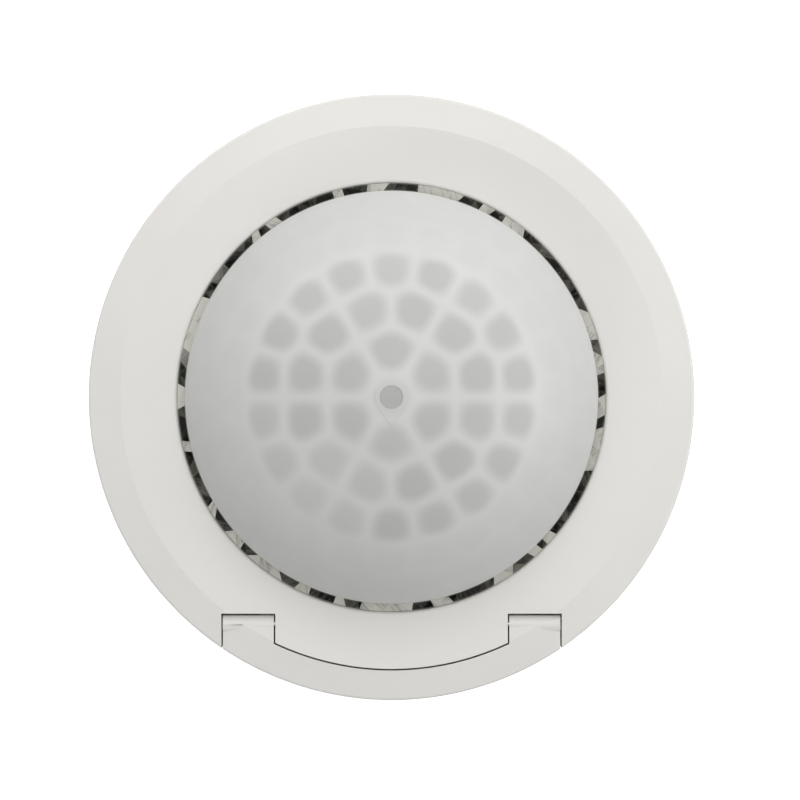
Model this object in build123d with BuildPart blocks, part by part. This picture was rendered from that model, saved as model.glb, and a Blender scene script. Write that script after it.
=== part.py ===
from build123d import *
import os

# Round ceiling motion sensor. Z = 0 is the face that meets the ceiling, +Z is the
# way the lens looks, and the access flap is on the -Y side. Millimetres.

os.makedirs("parts", exist_ok=True)

# ------------------------------------------------------------------ cover sizes
COVER_R = 54.0  # outside of the cover's side wall
COVER_WALL = 2.0  # thickness of the moulded cover
COVER_FOOT_Z = 0.8  # lower edge of the side wall, just off the ceiling
FACE_Z = 28.0  # front face at the crease
CREASE_R = 48.3  # the face turns down into the sloped rim here
FACE_DISH = 0.5  # the face falls by this from the crease to the dome's window
RIM_DROP = 1.4  # fall of the sloped rim
RIM_EDGE_R = 0.6  # rounding between the rim and the side wall
APERTURE_R = 38.2  # round window for the dome
APERTURE_EDGE_R = 0.5

# ------------------------------------------------------------- flap and hinge
GAP = 0.25  # moulding gap round the flap
WINDOW_HALF = 30.3  # half width of the flap's opening
BRIDGE_HALF = 20.7  # half width of the face left between the two ears
BRIDGE_R = 48.4  # curved edge of the bridge between the ears
EAR_TOP_Y = -38.8  # end of the ears, nearest the dome
KNUCKLE_R = 1.6  # rolled end of each ear
HINGE_Y = EAR_TOP_Y - KNUCKLE_R
HINGE_Z = FACE_Z - KNUCKLE_R
POCKET_Y = EAR_TOP_Y + 0.25  # edge of the face in front of each ear
PIN_R = 0.6
PIN_RUN = 0.05  # running clearance of the hinge pin
PIN_IN = 16.0  # inner end of a hinge pin
PIN_OUT = 28.0  # outer end of a hinge pin
LIP_DRAFT = 0.6  # undercut of the flap's curved edge, for its swing

# ----------------------------------------------------------------- lens sizes
DOME_R = 36.75
DOME_Z = 28.25  # centre of the hemisphere
DOME_WALL = 1.0
FLANGE_R = 40.4
RING_IN_R = 36.95
RING_LIP_R = 37.95
RING_LIP_Z = 27.3
PIPE_TIP_R = 1.95
PIPE_R = 1.2
PIPE_OFFSET = 9.0  # the light sensor stands this far from the axis, on the -Y side

# -------------------------------------------------------------- housing sizes
PLATE_R = 50.5
PLATE_T = 2.5
HOUSING_R = 41.0
HOUSING_WALL = 2.4
HOUSING_TOP = 24.4
FLOOR_Z = 13.0
FLOOR_T = 1.5
FLOOR_TOP = FLOOR_Z + FLOOR_T
BAY_HALF = 23.5  # half width of the control bay behind the flap
BAY_Y = -41.0  # front of the control bay
PANEL_T = 1.6
PANEL_HALF = 21.5
PANEL_LOW = 4.0
PANEL_HIGH = 23.0
LUG_WIDTH = 12.0  # bayonet lugs
LUG_ANGLE = 90.0  # first of the three bayonet lugs

# ---------------------------------------------------------- electronics sizes
BOARD_T = 1.6
BOARD_Z = 17.0  # underside of the main board
BOARD_TOP = BOARD_Z + BOARD_T
BOARD_R = 37.0
SENSOR_BOARD_Z = 22.5
SENSOR_BOARD_T = 1.2
SENSOR_TOP = SENSOR_BOARD_Z + SENSOR_BOARD_T
CONTROL_BOARD_Y = -35.2  # front face of the control board
HOUSING_SCREW_R = 33.0  # circle of the three screws that hold the housing
BOARD_SCREWS = [(-22, 22), (22, 22), (-16, -26), (16, -26)]
TERMINAL_PITCH = 6.0
TERMINAL_XS = [TERMINAL_PITCH * (n - 1.5) for n in range(4)]
TERMINAL_Y = 5.0
CABLE_Y = 20.0  # centre of the cable entry
DIAL_PITCH = 12.0
DIAL_Z = 15.5
DIAL_R = 4.0
SHAFT_R = 1.5
SHAFT_RUN = 0.08
BUTTON_Z = 7.5
BUTTON_R = 2.2
SLOT_SPACING = 60.0
SLOT_R = 2.25
SLOT_LENGTH = 9.0


def rim_z(radius):
    """Height of a face that is flat up to the crease, then falls along the rim."""
    return FACE_Z - max(0.0, radius - CREASE_R) * RIM_DROP / (COVER_R - CREASE_R)


def face_z(radius):
    """Height of the front face, which is dished inside the crease."""
    return rim_z(radius) - max(0.0, CREASE_R - radius) * FACE_DISH / (CREASE_R - APERTURE_R)


def rim_points(lip_top, lip_bottom):
    """Outline of the moulded cover in the XZ plane, from the lip to the foot."""
    inside_r = COVER_R - COVER_WALL
    flat = [(CREASE_R, FACE_Z)] if lip_top < CREASE_R else []
    flat_under = [(CREASE_R, FACE_Z - COVER_WALL)] if lip_bottom < CREASE_R else []
    return [
        (lip_top, face_z(lip_top)),
        *flat,
        (COVER_R, face_z(COVER_R)),
        (COVER_R, COVER_FOOT_Z),
        (inside_r, COVER_FOOT_Z),
        (inside_r, rim_z(inside_r) - COVER_WALL),
        *flat_under,
        (lip_bottom, rim_z(lip_bottom) - COVER_WALL),
    ]


def rim_edges(part):
    """The circular edges where the sloped rim meets the side wall outside."""
    height = FACE_Z - RIM_DROP
    circles = part.edges().filter_by(GeomType.CIRCLE)
    return circles.filter_by(
        lambda e: abs(e.radius - COVER_R) < 0.01 and abs(e.arc_center.Z - height) < 0.01
    )


def pan_screw(head_r, head_h, shank_r, length):
    """Pan-head screw with a cross recess, its seat at Z = 0 and its shank below."""
    with BuildPart() as screw:
        with BuildSketch():
            Circle(head_r)
        extrude(amount=head_h)
        fillet(screw.edges().sort_by(Axis.Z)[-1], head_h * 0.45)
        with BuildSketch():
            Circle(shank_r)
        extrude(amount=-length)
        with BuildSketch(Plane.XY.offset(head_h * 0.4)):
            Rectangle(head_r * 1.2, head_r * 0.25)
            Rectangle(head_r * 0.25, head_r * 1.2)
        extrude(amount=head_h, mode=Mode.SUBTRACT)
        chamfer(screw.edges().sort_by(Axis.Z)[0], shank_r * 0.3)
    return screw.part


# ------------------------------------------------------------------ base plate
with BuildPart() as base_plate:
    with BuildSketch():
        Circle(PLATE_R)
        with GridLocations(SLOT_SPACING, 0, 2, 1):
            SlotOverall(SLOT_LENGTH, 2 * SLOT_R, mode=Mode.SUBTRACT)
        with Locations((0, CABLE_Y)):
            Circle(7.0, mode=Mode.SUBTRACT)
    extrude(amount=PLATE_T)
    with BuildSketch(Plane.XY.offset(PLATE_T)):
        Circle(PLATE_R)
        Circle(PLATE_R - 2.0, mode=Mode.SUBTRACT)
        with Locations((0, -PLATE_R)):
            Rectangle(2 * WINDOW_HALF + 2, 30, mode=Mode.SUBTRACT)
    extrude(amount=3.5)
    with PolarLocations(PLATE_R - 0.2, 3, LUG_ANGLE):
        with Locations((0, 0, 4.7)):
            Box(2.0, LUG_WIDTH, 1.4)
    with BuildSketch(Plane.XY.offset(PLATE_T)):
        with PolarLocations(HOUSING_SCREW_R, 3, LUG_ANGLE):
            Circle(3.2)
    extrude(amount=FLOOR_Z - PLATE_T)
    with BuildSketch(Plane.XY.offset(FLOOR_Z)):
        with PolarLocations(HOUSING_SCREW_R, 3, LUG_ANGLE):
            Circle(1.4)
    extrude(amount=-9.5, mode=Mode.SUBTRACT)
base_plate.part.label = "base_plate"
export_step(base_plate.part, "parts/base_plate.step")

# ------------------------------------------------- rubber grommet of the cable
with BuildPart() as cable_grommet:
    with BuildSketch(Plane.XZ) as grommet_half:
        with BuildLine():
            Polyline((4.0, 0), (7.0, 0), (7.0, PLATE_T), (8.6, PLATE_T), (8.0, 4.5), (4.0, 4.5), close=True)
        make_face()
    revolve(axis=Axis.Z)
with BuildPart() as placed_grommet:
    with Locations((0, CABLE_Y)):
        add(cable_grommet.part)
placed_grommet.part.label = "cable_grommet"
export_step(placed_grommet.part, "parts/cable_grommet.step")

# -------------------------------------------------------------- terminal block
with BuildPart() as terminal_block:
    with BuildSketch(Plane.XY.offset(PLATE_T)):
        with Locations((0, TERMINAL_Y - 1)):
            Rectangle(26.0, 12.0)
    extrude(amount=9.5)
    fillet(terminal_block.edges().filter_by(Axis.Z), 0.6)
    for x in TERMINAL_XS:
        with Locations((x, TERMINAL_Y + 1.5, 5.2)):
            Box(3.6, 9.2, 3.8, mode=Mode.SUBTRACT)
        with BuildSketch(Plane.XY.offset(8.2)):
            with Locations((x, TERMINAL_Y)):
                Circle(2.1)
        extrude(amount=4.0, mode=Mode.SUBTRACT)
        with BuildSketch(Plane.XY.offset(6.0)):
            with Locations((x, TERMINAL_Y)):
                Circle(1.25)
        extrude(amount=3.0, mode=Mode.SUBTRACT)
        with BuildSketch(Plane.XY.offset(11.0)):
            with Locations((x, -0.2)):
                Circle(0.5)
        extrude(amount=1.0, mode=Mode.SUBTRACT)
terminal_block.part.label = "terminal_block"
export_step(terminal_block.part, "parts/terminal_block.step")

with BuildPart() as terminal_clamps:
    for x in TERMINAL_XS:
        with Locations((x, TERMINAL_Y, 5.2)):
            Box(3.4, 6.0, 3.6)
        with BuildSketch(Plane.XZ.offset(-TERMINAL_Y - 3.0)):
            with Locations((x, 5.2)):
                Circle(1.2)
        extrude(amount=6.0, mode=Mode.SUBTRACT)
        with BuildSketch(Plane.XY.offset(5.2)):
            with Locations((x, TERMINAL_Y)):
                Circle(1.25)
        extrude(amount=2.0, mode=Mode.SUBTRACT)
terminal_clamps.part.label = "terminal_clamps"
export_step(terminal_clamps.part, "parts/terminal_clamps.step")

terminal_screw = pan_screw(1.9, 1.4, 1.2, 2.4)
with BuildPart() as terminal_screws:
    with Locations([(x, TERMINAL_Y, 8.2) for x in TERMINAL_XS]):
        add(terminal_screw)
terminal_screws.part.label = "terminal_screws"
export_step(terminal_screws.part, "parts/terminal_screws.step")

with BuildPart() as supply_pins:
    with BuildSketch(Plane.XY.offset(11.0)):
        with Locations([(x, -0.2) for x in TERMINAL_XS]):
            Circle(0.5)
    extrude(amount=BOARD_TOP - 11.0)
supply_pins.part.label = "supply_pins"
export_step(supply_pins.part, "parts/supply_pins.step")

# --------------------------------------------------------------------- housing
with BuildPart() as housing:
    with BuildSketch(Plane.XY.offset(PLATE_T)):
        Circle(HOUSING_R)
        with Locations((0, BAY_Y / 2)):
            Rectangle(2 * BAY_HALF, -BAY_Y)
    extrude(amount=HOUSING_TOP - PLATE_T)
    with BuildSketch(Plane.XY.offset(PLATE_T)):
        Circle(HOUSING_R - HOUSING_WALL)
    extrude(amount=HOUSING_TOP, mode=Mode.SUBTRACT)
    with BuildSketch(Plane.XY.offset(PLATE_T)):
        with Locations((0, (BAY_Y + PANEL_T) / 2)):
            Rectangle(2 * BAY_HALF - 3.2, -BAY_Y - PANEL_T)
    extrude(amount=20.3, mode=Mode.SUBTRACT)
    with Locations((0, BAY_Y + PANEL_T / 2, (PANEL_LOW + PANEL_HIGH) / 2)):
        Box(2 * PANEL_HALF + 0.1, PANEL_T + 1, PANEL_HIGH - PANEL_LOW + 0.1, mode=Mode.SUBTRACT)
    with BuildSketch(Plane.XY.offset(FLOOR_Z)):
        Circle(HOUSING_R - HOUSING_WALL)
        with Locations((0, -42.5)):
            Rectangle(60, 20, mode=Mode.SUBTRACT)
        with PolarLocations(HOUSING_SCREW_R, 3, LUG_ANGLE):
            Circle(1.5, mode=Mode.SUBTRACT)
        with Locations([(x, -0.2) for x in TERMINAL_XS]):
            Circle(1.0, mode=Mode.SUBTRACT)
    extrude(amount=FLOOR_T)
    with BuildSketch(Plane.XY.offset(FLOOR_TOP)):
        with Locations(BOARD_SCREWS):
            Circle(2.6)
            Circle(1.0, mode=Mode.SUBTRACT)
    extrude(amount=BOARD_Z - FLOOR_TOP)
    for side in (-1, 1):
        with Locations((side * 19.9, -37.45, 13.5)):
            Box(4.4, 3.9, 5.0)
        with BuildSketch(Plane.XZ.offset(-BAY_Y - PANEL_T)):
            with Locations((side * 19.5, 13.5)):
                Circle(0.9)
        extrude(amount=-3.4, mode=Mode.SUBTRACT)
housing.part.label = "housing"
export_step(housing.part, "parts/housing.step")

housing_screw = pan_screw(2.7, 1.9, 1.4, 9.0)
with BuildPart() as housing_screws:
    with PolarLocations(HOUSING_SCREW_R, 3, LUG_ANGLE):
        with Locations((0, 0, FLOOR_TOP)):
            add(housing_screw)
housing_screws.part.label = "housing_screws"
export_step(housing_screws.part, "parts/housing_screws.step")

# ------------------------------------------------------------------ main board
with BuildPart() as main_board:
    with BuildSketch(Plane.XY.offset(BOARD_Z)):
        Circle(BOARD_R)
        with Locations((0, -41.5)):
            Rectangle(60, 20, mode=Mode.SUBTRACT)
        with PolarLocations(HOUSING_SCREW_R, 3, LUG_ANGLE):
            Circle(3.4, mode=Mode.SUBTRACT)
        with Locations(BOARD_SCREWS):
            Circle(1.2, mode=Mode.SUBTRACT)
        with Locations([(x, -0.2) for x in TERMINAL_XS]):
            Circle(0.5, mode=Mode.SUBTRACT)
    extrude(amount=BOARD_T)
main_board.part.label = "main_board"
export_step(main_board.part, "parts/main_board.step")

board_screw = pan_screw(2.0, 1.4, 1.0, 4.0)
with BuildPart() as board_screws:
    with Locations([(x, y, BOARD_TOP) for x, y in BOARD_SCREWS]):
        add(board_screw)
board_screws.part.label = "board_screws"
export_step(board_screws.part, "parts/board_screws.step")

with BuildPart() as relay:
    with Locations((-22, 2, BOARD_TOP + 5.75)):
        Box(10.0, 18.0, 11.5)
    fillet(relay.edges().filter_by(Axis.Z), 0.8)
    fillet(relay.faces().sort_by(Axis.Z)[-1].edges(), 0.5)
relay.part.label = "relay"
export_step(relay.part, "parts/relay.step")

with BuildPart() as transformer:
    with Locations((21, 3, BOARD_TOP + 1.5)):
        Box(14.0, 16.0, 3.0)
    with Locations((21, 3, BOARD_TOP + 6.5)):
        Box(10.0, 15.0, 7.0)
    with Locations((21, 3, BOARD_TOP + 6.5)):
        Box(13.6, 7.0, 8.0)
transformer.part.label = "transformer"
export_step(transformer.part, "parts/transformer.step")

with BuildPart() as capacitors:
    with BuildSketch(Plane.XY.offset(BOARD_TOP)):
        with Locations((-9.5, -20.5), (0, -24), (9.5, -20.5)):
            Circle(4.0)
    extrude(amount=9.0)
    fillet(capacitors.edges().group_by(Axis.Z)[-1], 0.5)
capacitors.part.label = "capacitors"
export_step(capacitors.part, "parts/capacitors.step")

with BuildPart() as film_capacitor:
    with Locations((0, 24, BOARD_TOP + 4.5)):
        Box(13.0, 5.0, 9.0)
    fillet(film_capacitor.edges().filter_by(Axis.Z), 0.6)
film_capacitor.part.label = "film_capacitor"
export_step(film_capacitor.part, "parts/film_capacitor.step")

with BuildPart() as microcontroller:
    with Locations((0, 16, BOARD_TOP + 0.5)):
        Box(7.0, 7.0, 1.0)
    chamfer(microcontroller.faces().sort_by(Axis.Z)[-1].edges(), 0.2)
microcontroller.part.label = "microcontroller"
export_step(microcontroller.part, "parts/microcontroller.step")

# ---------------------------------------------------------------- sensor board
with BuildPart() as sensor_board:
    with BuildSketch(Plane.XY.offset(SENSOR_BOARD_Z)):
        Circle(13.0)
        with PolarLocations(10.5, 3, LUG_ANGLE):
            Circle(0.9, mode=Mode.SUBTRACT)
    extrude(amount=SENSOR_BOARD_T)
sensor_board.part.label = "sensor_board"
export_step(sensor_board.part, "parts/sensor_board.step")

with BuildPart() as board_spacers:
    with BuildSketch(Plane.XY.offset(BOARD_TOP)):
        with PolarLocations(10.5, 3, LUG_ANGLE):
            RegularPolygon(1.7, 6)
            Circle(0.8, mode=Mode.SUBTRACT)
    extrude(amount=SENSOR_BOARD_Z - BOARD_TOP)
board_spacers.part.label = "board_spacers"
export_step(board_spacers.part, "parts/board_spacers.step")

sensor_screw = pan_screw(1.5, 1.1, 0.8, 3.6)
with BuildPart() as sensor_screws:
    with PolarLocations(10.5, 3, LUG_ANGLE):
        with Locations((0, 0, SENSOR_TOP)):
            add(sensor_screw)
sensor_screws.part.label = "sensor_screws"
export_step(sensor_screws.part, "parts/sensor_screws.step")

with BuildPart() as board_connector:
    with Locations((0, 3, (BOARD_TOP + SENSOR_BOARD_Z) / 2)):
        Box(10.0, 2.6, SENSOR_BOARD_Z - BOARD_TOP)
board_connector.part.label = "board_connector"
export_step(board_connector.part, "parts/board_connector.step")

# The infrared detector's window lies at the centre of the lens sphere.
with BuildPart() as infrared_detector:
    with BuildSketch(Plane.XY.offset(SENSOR_TOP)):
        Circle(4.6)
    extrude(amount=0.6)
    with BuildSketch(Plane.XY.offset(SENSOR_TOP + 0.6)):
        Circle(4.1)
    extrude(amount=4.0)
    fillet(infrared_detector.edges().sort_by(Axis.Z)[-1], 0.5)
    with Locations((0, 0, DOME_Z - 0.05)):
        Box(4.6, 4.6, 0.8, mode=Mode.SUBTRACT)
infrared_detector.part.label = "infrared_detector"
export_step(infrared_detector.part, "parts/infrared_detector.step")

with BuildPart() as detector_window:
    with Locations((0, 0, DOME_Z - 0.2)):
        Box(4.6, 4.6, 0.5)
detector_window.part.label = "detector_window"
export_step(detector_window.part, "parts/detector_window.step")

with BuildPart() as detector_collar:
    with BuildSketch(Plane.XY.offset(SENSOR_TOP)):
        Circle(6.4)
        Circle(4.7, mode=Mode.SUBTRACT)
    extrude(amount=2.6)
    chamfer(detector_collar.edges().group_by(Axis.Z)[-1], 0.4)
detector_collar.part.label = "detector_collar"
export_step(detector_collar.part, "parts/detector_collar.step")

with BuildPart() as light_sensor:
    with Locations((0, -PIPE_OFFSET, SENSOR_TOP + 0.45)):
        Box(2.6, 2.6, 0.9)
light_sensor.part.label = "light_sensor"
export_step(light_sensor.part, "parts/light_sensor.step")

with BuildPart() as status_led:
    with BuildSketch(Plane.XY.offset(SENSOR_TOP)):
        with Locations((8.5, 4.5)):
            Circle(1.5)
    extrude(amount=3.2)
    fillet(status_led.edges().sort_by(Axis.Z)[-1], 1.4)
status_led.part.label = "status_led"
export_step(status_led.part, "parts/status_led.step")

# ------------------------------------------------------------------------ lens
with BuildPart() as lens_dome:
    with BuildSketch(Plane.XZ) as dome_half:
        with BuildLine():
            Line((0, DOME_Z + DOME_R - DOME_WALL), (0, DOME_Z + DOME_R))
            CenterArc((0, DOME_Z), DOME_R, 0, 90)
            Polyline(
                (DOME_R, DOME_Z),
                (DOME_R, HOUSING_TOP + 0.8),
                (FLANGE_R, HOUSING_TOP + 0.8),
                (FLANGE_R, HOUSING_TOP),
                (DOME_R - DOME_WALL, HOUSING_TOP),
                (DOME_R - DOME_WALL, DOME_Z),
            )
            CenterArc((0, DOME_Z), DOME_R - DOME_WALL, 0, 90)
        make_face()
    revolve(axis=Axis.Z)
    with BuildSketch(Plane.XY.offset(DOME_Z)):
        Circle(PIPE_TIP_R + 0.05)
    extrude(amount=DOME_R + 1, mode=Mode.SUBTRACT)
lens_dome.part.label = "lens_dome"
export_step(lens_dome.part, "parts/lens_dome.step")

with BuildPart() as light_ring:
    with BuildSketch(Plane.XZ) as ring_half:
        with BuildLine():
            Polyline(
                (RING_IN_R, HOUSING_TOP + 0.8),
                (FLANGE_R, HOUSING_TOP + 0.8),
                (FLANGE_R, HOUSING_TOP + 1.3),
                (RING_LIP_R, HOUSING_TOP + 1.3),
                (RING_LIP_R, RING_LIP_Z),
                (RING_IN_R, RING_LIP_Z),
                close=True,
            )
        make_face()
    revolve(axis=Axis.Z)
light_ring.part.label = "light_ring"
export_step(light_ring.part, "parts/light_ring.step")

with BuildPart() as light_pipe:
    with BuildLine() as pipe_path:
        FilletPolyline(
            (0, 0, DOME_Z + DOME_R - 2.6),
            (0, 0, 55.0),
            (0, -PIPE_OFFSET, 40.0),
            (0, -PIPE_OFFSET, SENSOR_TOP + 1.2),
            radius=8.0,
        )
    with BuildSketch(Plane(origin=pipe_path.line @ 0, z_dir=pipe_path.line % 0)):
        Circle(PIPE_R)
    sweep()
    with BuildSketch(Plane.XY.offset(DOME_Z + DOME_R - 2.8)):
        Circle(PIPE_TIP_R)
    extrude(amount=2.75)
    fillet(light_pipe.edges().sort_by(Axis.Z)[-1], 0.2)
light_pipe.part.label = "light_pipe"
export_step(light_pipe.part, "parts/light_pipe.step")

# --------------------------------------------------------------- control panel
DIAL_XS = [-DIAL_PITCH, 0.0, DIAL_PITCH]

with BuildPart() as dial_panel:
    with BuildSketch(Plane.XZ.offset(-BAY_Y)):
        with Locations((0, (PANEL_LOW + PANEL_HIGH) / 2)):
            RectangleRounded(2 * PANEL_HALF, PANEL_HIGH - PANEL_LOW, 0.8)
        with Locations([(x, DIAL_Z) for x in DIAL_XS]):
            Circle(SHAFT_R + SHAFT_RUN, mode=Mode.SUBTRACT)
        with Locations((0, BUTTON_Z)):
            Circle(BUTTON_R + SHAFT_RUN, mode=Mode.SUBTRACT)
        with Locations((-19.5, 13.5), (19.5, 13.5)):
            Circle(1.1, mode=Mode.SUBTRACT)
    extrude(amount=-PANEL_T)
dial_panel.part.label = "dial_panel"
export_step(dial_panel.part, "parts/dial_panel.step")

panel_screw = pan_screw(1.7, 1.0, 0.9, 4.6)
with BuildPart() as panel_screws:
    for side in (-1, 1):
        with Locations(Location((side * 19.5, BAY_Y, 13.5), (90, 0, 0))):
            add(panel_screw)
panel_screws.part.label = "panel_screws"
export_step(panel_screws.part, "parts/panel_screws.step")

with BuildPart() as control_board:
    with BuildSketch(Plane.XZ.offset(-CONTROL_BOARD_Y)):
        with Locations((0, 13.4)):
            Rectangle(42.0, 17.8)
    extrude(amount=-1.6)
control_board.part.label = "control_board"
export_step(control_board.part, "parts/control_board.step")

with BuildPart() as dial_trimmers:
    with BuildSketch(Plane.XZ.offset(-CONTROL_BOARD_Y)):
        with Locations([(x, DIAL_Z) for x in DIAL_XS]):
            RectangleRounded(7.0, 7.0, 0.6)
    extrude(amount=4.0)
    with BuildSketch(Plane.XZ.offset(-CONTROL_BOARD_Y + 1.8)):
        with Locations([(x, DIAL_Z) for x in DIAL_XS]):
            Circle(SHAFT_R + SHAFT_RUN)
    extrude(amount=3.0, mode=Mode.SUBTRACT)
dial_trimmers.part.label = "dial_trimmers"
export_step(dial_trimmers.part, "parts/dial_trimmers.step")

with BuildPart() as button_switch:
    with BuildSketch(Plane.XZ.offset(-CONTROL_BOARD_Y)):
        with Locations((0, BUTTON_Z)):
            RectangleRounded(4.5, 4.5, 0.4)
    extrude(amount=1.3)
button_switch.part.label = "button_switch"
export_step(button_switch.part, "parts/button_switch.step")


def setting_dial(x):
    """Knurled dial on its shaft, with a screwdriver slot and a pointer notch."""
    with BuildPart() as dial:
        with BuildSketch(Plane.XZ.offset(-BAY_Y + 0.3)):
            with Locations((x, DIAL_Z)):
                Circle(DIAL_R)
                with PolarLocations(DIAL_R + 0.15, 18):
                    Circle(0.4, mode=Mode.SUBTRACT)
        extrude(amount=2.1)
        with BuildSketch(Plane.XZ.offset(-BAY_Y - 3.4)):
            with Locations((x, DIAL_Z)):
                Circle(SHAFT_R)
        extrude(amount=3.8)
        with BuildSketch(Plane.XZ.offset(-BAY_Y + 1.5)):
            with Locations((x, DIAL_Z)):
                Rectangle(1.0, 5.2)
                with Locations((0, 2.6)):
                    RegularPolygon(1.1, 3, rotation=90)
        extrude(amount=1.0, mode=Mode.SUBTRACT)
    return dial.part


for dial_name, dial_x in zip(("time_dial", "light_dial", "range_dial"), DIAL_XS):
    dial_part = setting_dial(dial_x)
    dial_part.label = dial_name
    export_step(dial_part, f"parts/{dial_name}.step")

with BuildPart() as test_button:
    with BuildSketch(Plane.XZ.offset(-BAY_Y - 3.6)):
        with Locations((0, BUTTON_Z)):
            Circle(BUTTON_R)
    extrude(amount=5.2)
    fillet(test_button.edges().sort_by(Axis.Y)[0], 0.6)
    with BuildSketch(Plane.XZ.offset(-BAY_Y - 2.6)):
        with Locations((0, BUTTON_Z)):
            Circle(BUTTON_R + 0.8)
    extrude(amount=0.8)
test_button.part.label = "test_button"
export_step(test_button.part, "parts/test_button.step")

# ------------------------------------------------------------------ cover ring
with BuildPart() as cover_ring:
    with BuildSketch(Plane.XZ) as cover_half:
        with BuildLine():
            Polyline(*rim_points(APERTURE_R, APERTURE_R), close=True)
        make_face()
    revolve(axis=Axis.Z)
    fillet(rim_edges(cover_ring), RIM_EDGE_R)
    fillet(
        cover_ring.edges()
        .filter_by(GeomType.CIRCLE)
        .filter_by(lambda e: abs(e.radius - APERTURE_R) < 0.01)
        .sort_by(Axis.Z)[-1],
        APERTURE_EDGE_R,
    )
    with BuildSketch():
        with Locations((0, POCKET_Y - 15)):
            Rectangle(2 * WINDOW_HALF, 30)
        Circle(BRIDGE_R, mode=Mode.SUBTRACT)
        for side in (-1, 1):
            with Locations((side * (BRIDGE_HALF + WINDOW_HALF) / 2, POCKET_Y - 5)):
                Rectangle(WINDOW_HALF - BRIDGE_HALF, 10)
    extrude(amount=FACE_Z + 1, mode=Mode.SUBTRACT)
    for side in (-1, 1):
        with Locations((side * (PIN_IN + BRIDGE_HALF) / 2, HINGE_Y, FACE_Z - COVER_WALL - 0.5)):
            Box(BRIDGE_HALF - PIN_IN, 2 * KNUCKLE_R, 1.0)
    with BuildSketch(Plane.YZ.offset(-PIN_OUT)):
        with Locations((HINGE_Y, HINGE_Z)):
            Circle(PIN_R)
    extrude(amount=PIN_OUT - PIN_IN - 0.5, mode=Mode.SUBTRACT)
    with BuildSketch(Plane.YZ.offset(PIN_OUT)):
        with Locations((HINGE_Y, HINGE_Z)):
            Circle(PIN_R)
    extrude(amount=-(PIN_OUT - PIN_IN - 0.5), mode=Mode.SUBTRACT)
    with PolarLocations(COVER_R - 2.4, 3, LUG_ANGLE):
        with Locations((0, 0, 2.8)):
            Box(1.5, LUG_WIDTH, 1.6)
cover_ring.part.label = "cover_ring"
export_step(cover_ring.part, "parts/cover_ring.step")

with BuildPart() as hinge_pins:
    with BuildSketch(Plane.YZ.offset(PIN_IN + 0.5)):
        with Locations((HINGE_Y, HINGE_Z)):
            Circle(PIN_R)
    extrude(amount=PIN_OUT - PIN_IN - 0.5)
    mirror(about=Plane.YZ)
hinge_pins.part.label = "hinge_pins"
export_step(hinge_pins.part, "parts/hinge_pins.step")

# ----------------------------------------------------------------- access flap
EAR_IN = BRIDGE_HALF + GAP
EAR_OUT = WINDOW_HALF - GAP
EAR_MID = (EAR_IN + EAR_OUT) / 2

# One ear: the strip of face and rim behind the hinge line.
with BuildPart() as ear_strip:
    with BuildSketch(Plane.XZ):
        with BuildLine():
            Polyline(*rim_points(APERTURE_R, APERTURE_R), close=True)
        make_face()
    revolve(axis=Axis.Z)
    fillet(rim_edges(ear_strip), RIM_EDGE_R)
    with Locations((EAR_MID, HINGE_Y - 10, FACE_Z / 2)):
        Box(EAR_OUT - EAR_IN, 20, FACE_Z + 2, mode=Mode.INTERSECT)

# Its rolled end, which stands a little proud of the sloped rim.
with BuildPart() as ear_knuckle:
    with BuildSketch(Plane.YZ.offset(EAR_IN)):
        with Locations((HINGE_Y, HINGE_Z)):
            Circle(KNUCKLE_R)
    extrude(amount=EAR_OUT - EAR_IN)

with BuildPart() as access_flap:
    with BuildSketch(Plane.XZ):
        with BuildLine():
            Polyline(*rim_points(BRIDGE_R + GAP, BRIDGE_R + GAP + LIP_DRAFT), close=True)
        make_face()
    revolve(axis=Axis.Z)
    fillet(rim_edges(access_flap), RIM_EDGE_R)
    with Locations((0, HINGE_Y - 10, FACE_Z / 2)):
        Box(2 * EAR_OUT, 20, FACE_Z + 2, mode=Mode.INTERSECT)
    add(ear_strip.part)
    add(ear_knuckle.part)
    mirror(about=Plane.YZ)
    with BuildSketch(Plane.YZ.offset(-PIN_OUT - 0.3)):
        with Locations((HINGE_Y, HINGE_Z)):
            Circle(PIN_R + PIN_RUN)
    extrude(amount=2 * PIN_OUT + 0.6, mode=Mode.SUBTRACT)
    with Locations((0, -COVER_R + 2.4, 1.9)):
        Box(12.0, 1.5, 1.4)
access_flap.part.label = "access_flap"
export_step(access_flap.part, "parts/access_flap.step")
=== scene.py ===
import logging
import math
from dataclasses import dataclass
from enum import Enum

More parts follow.
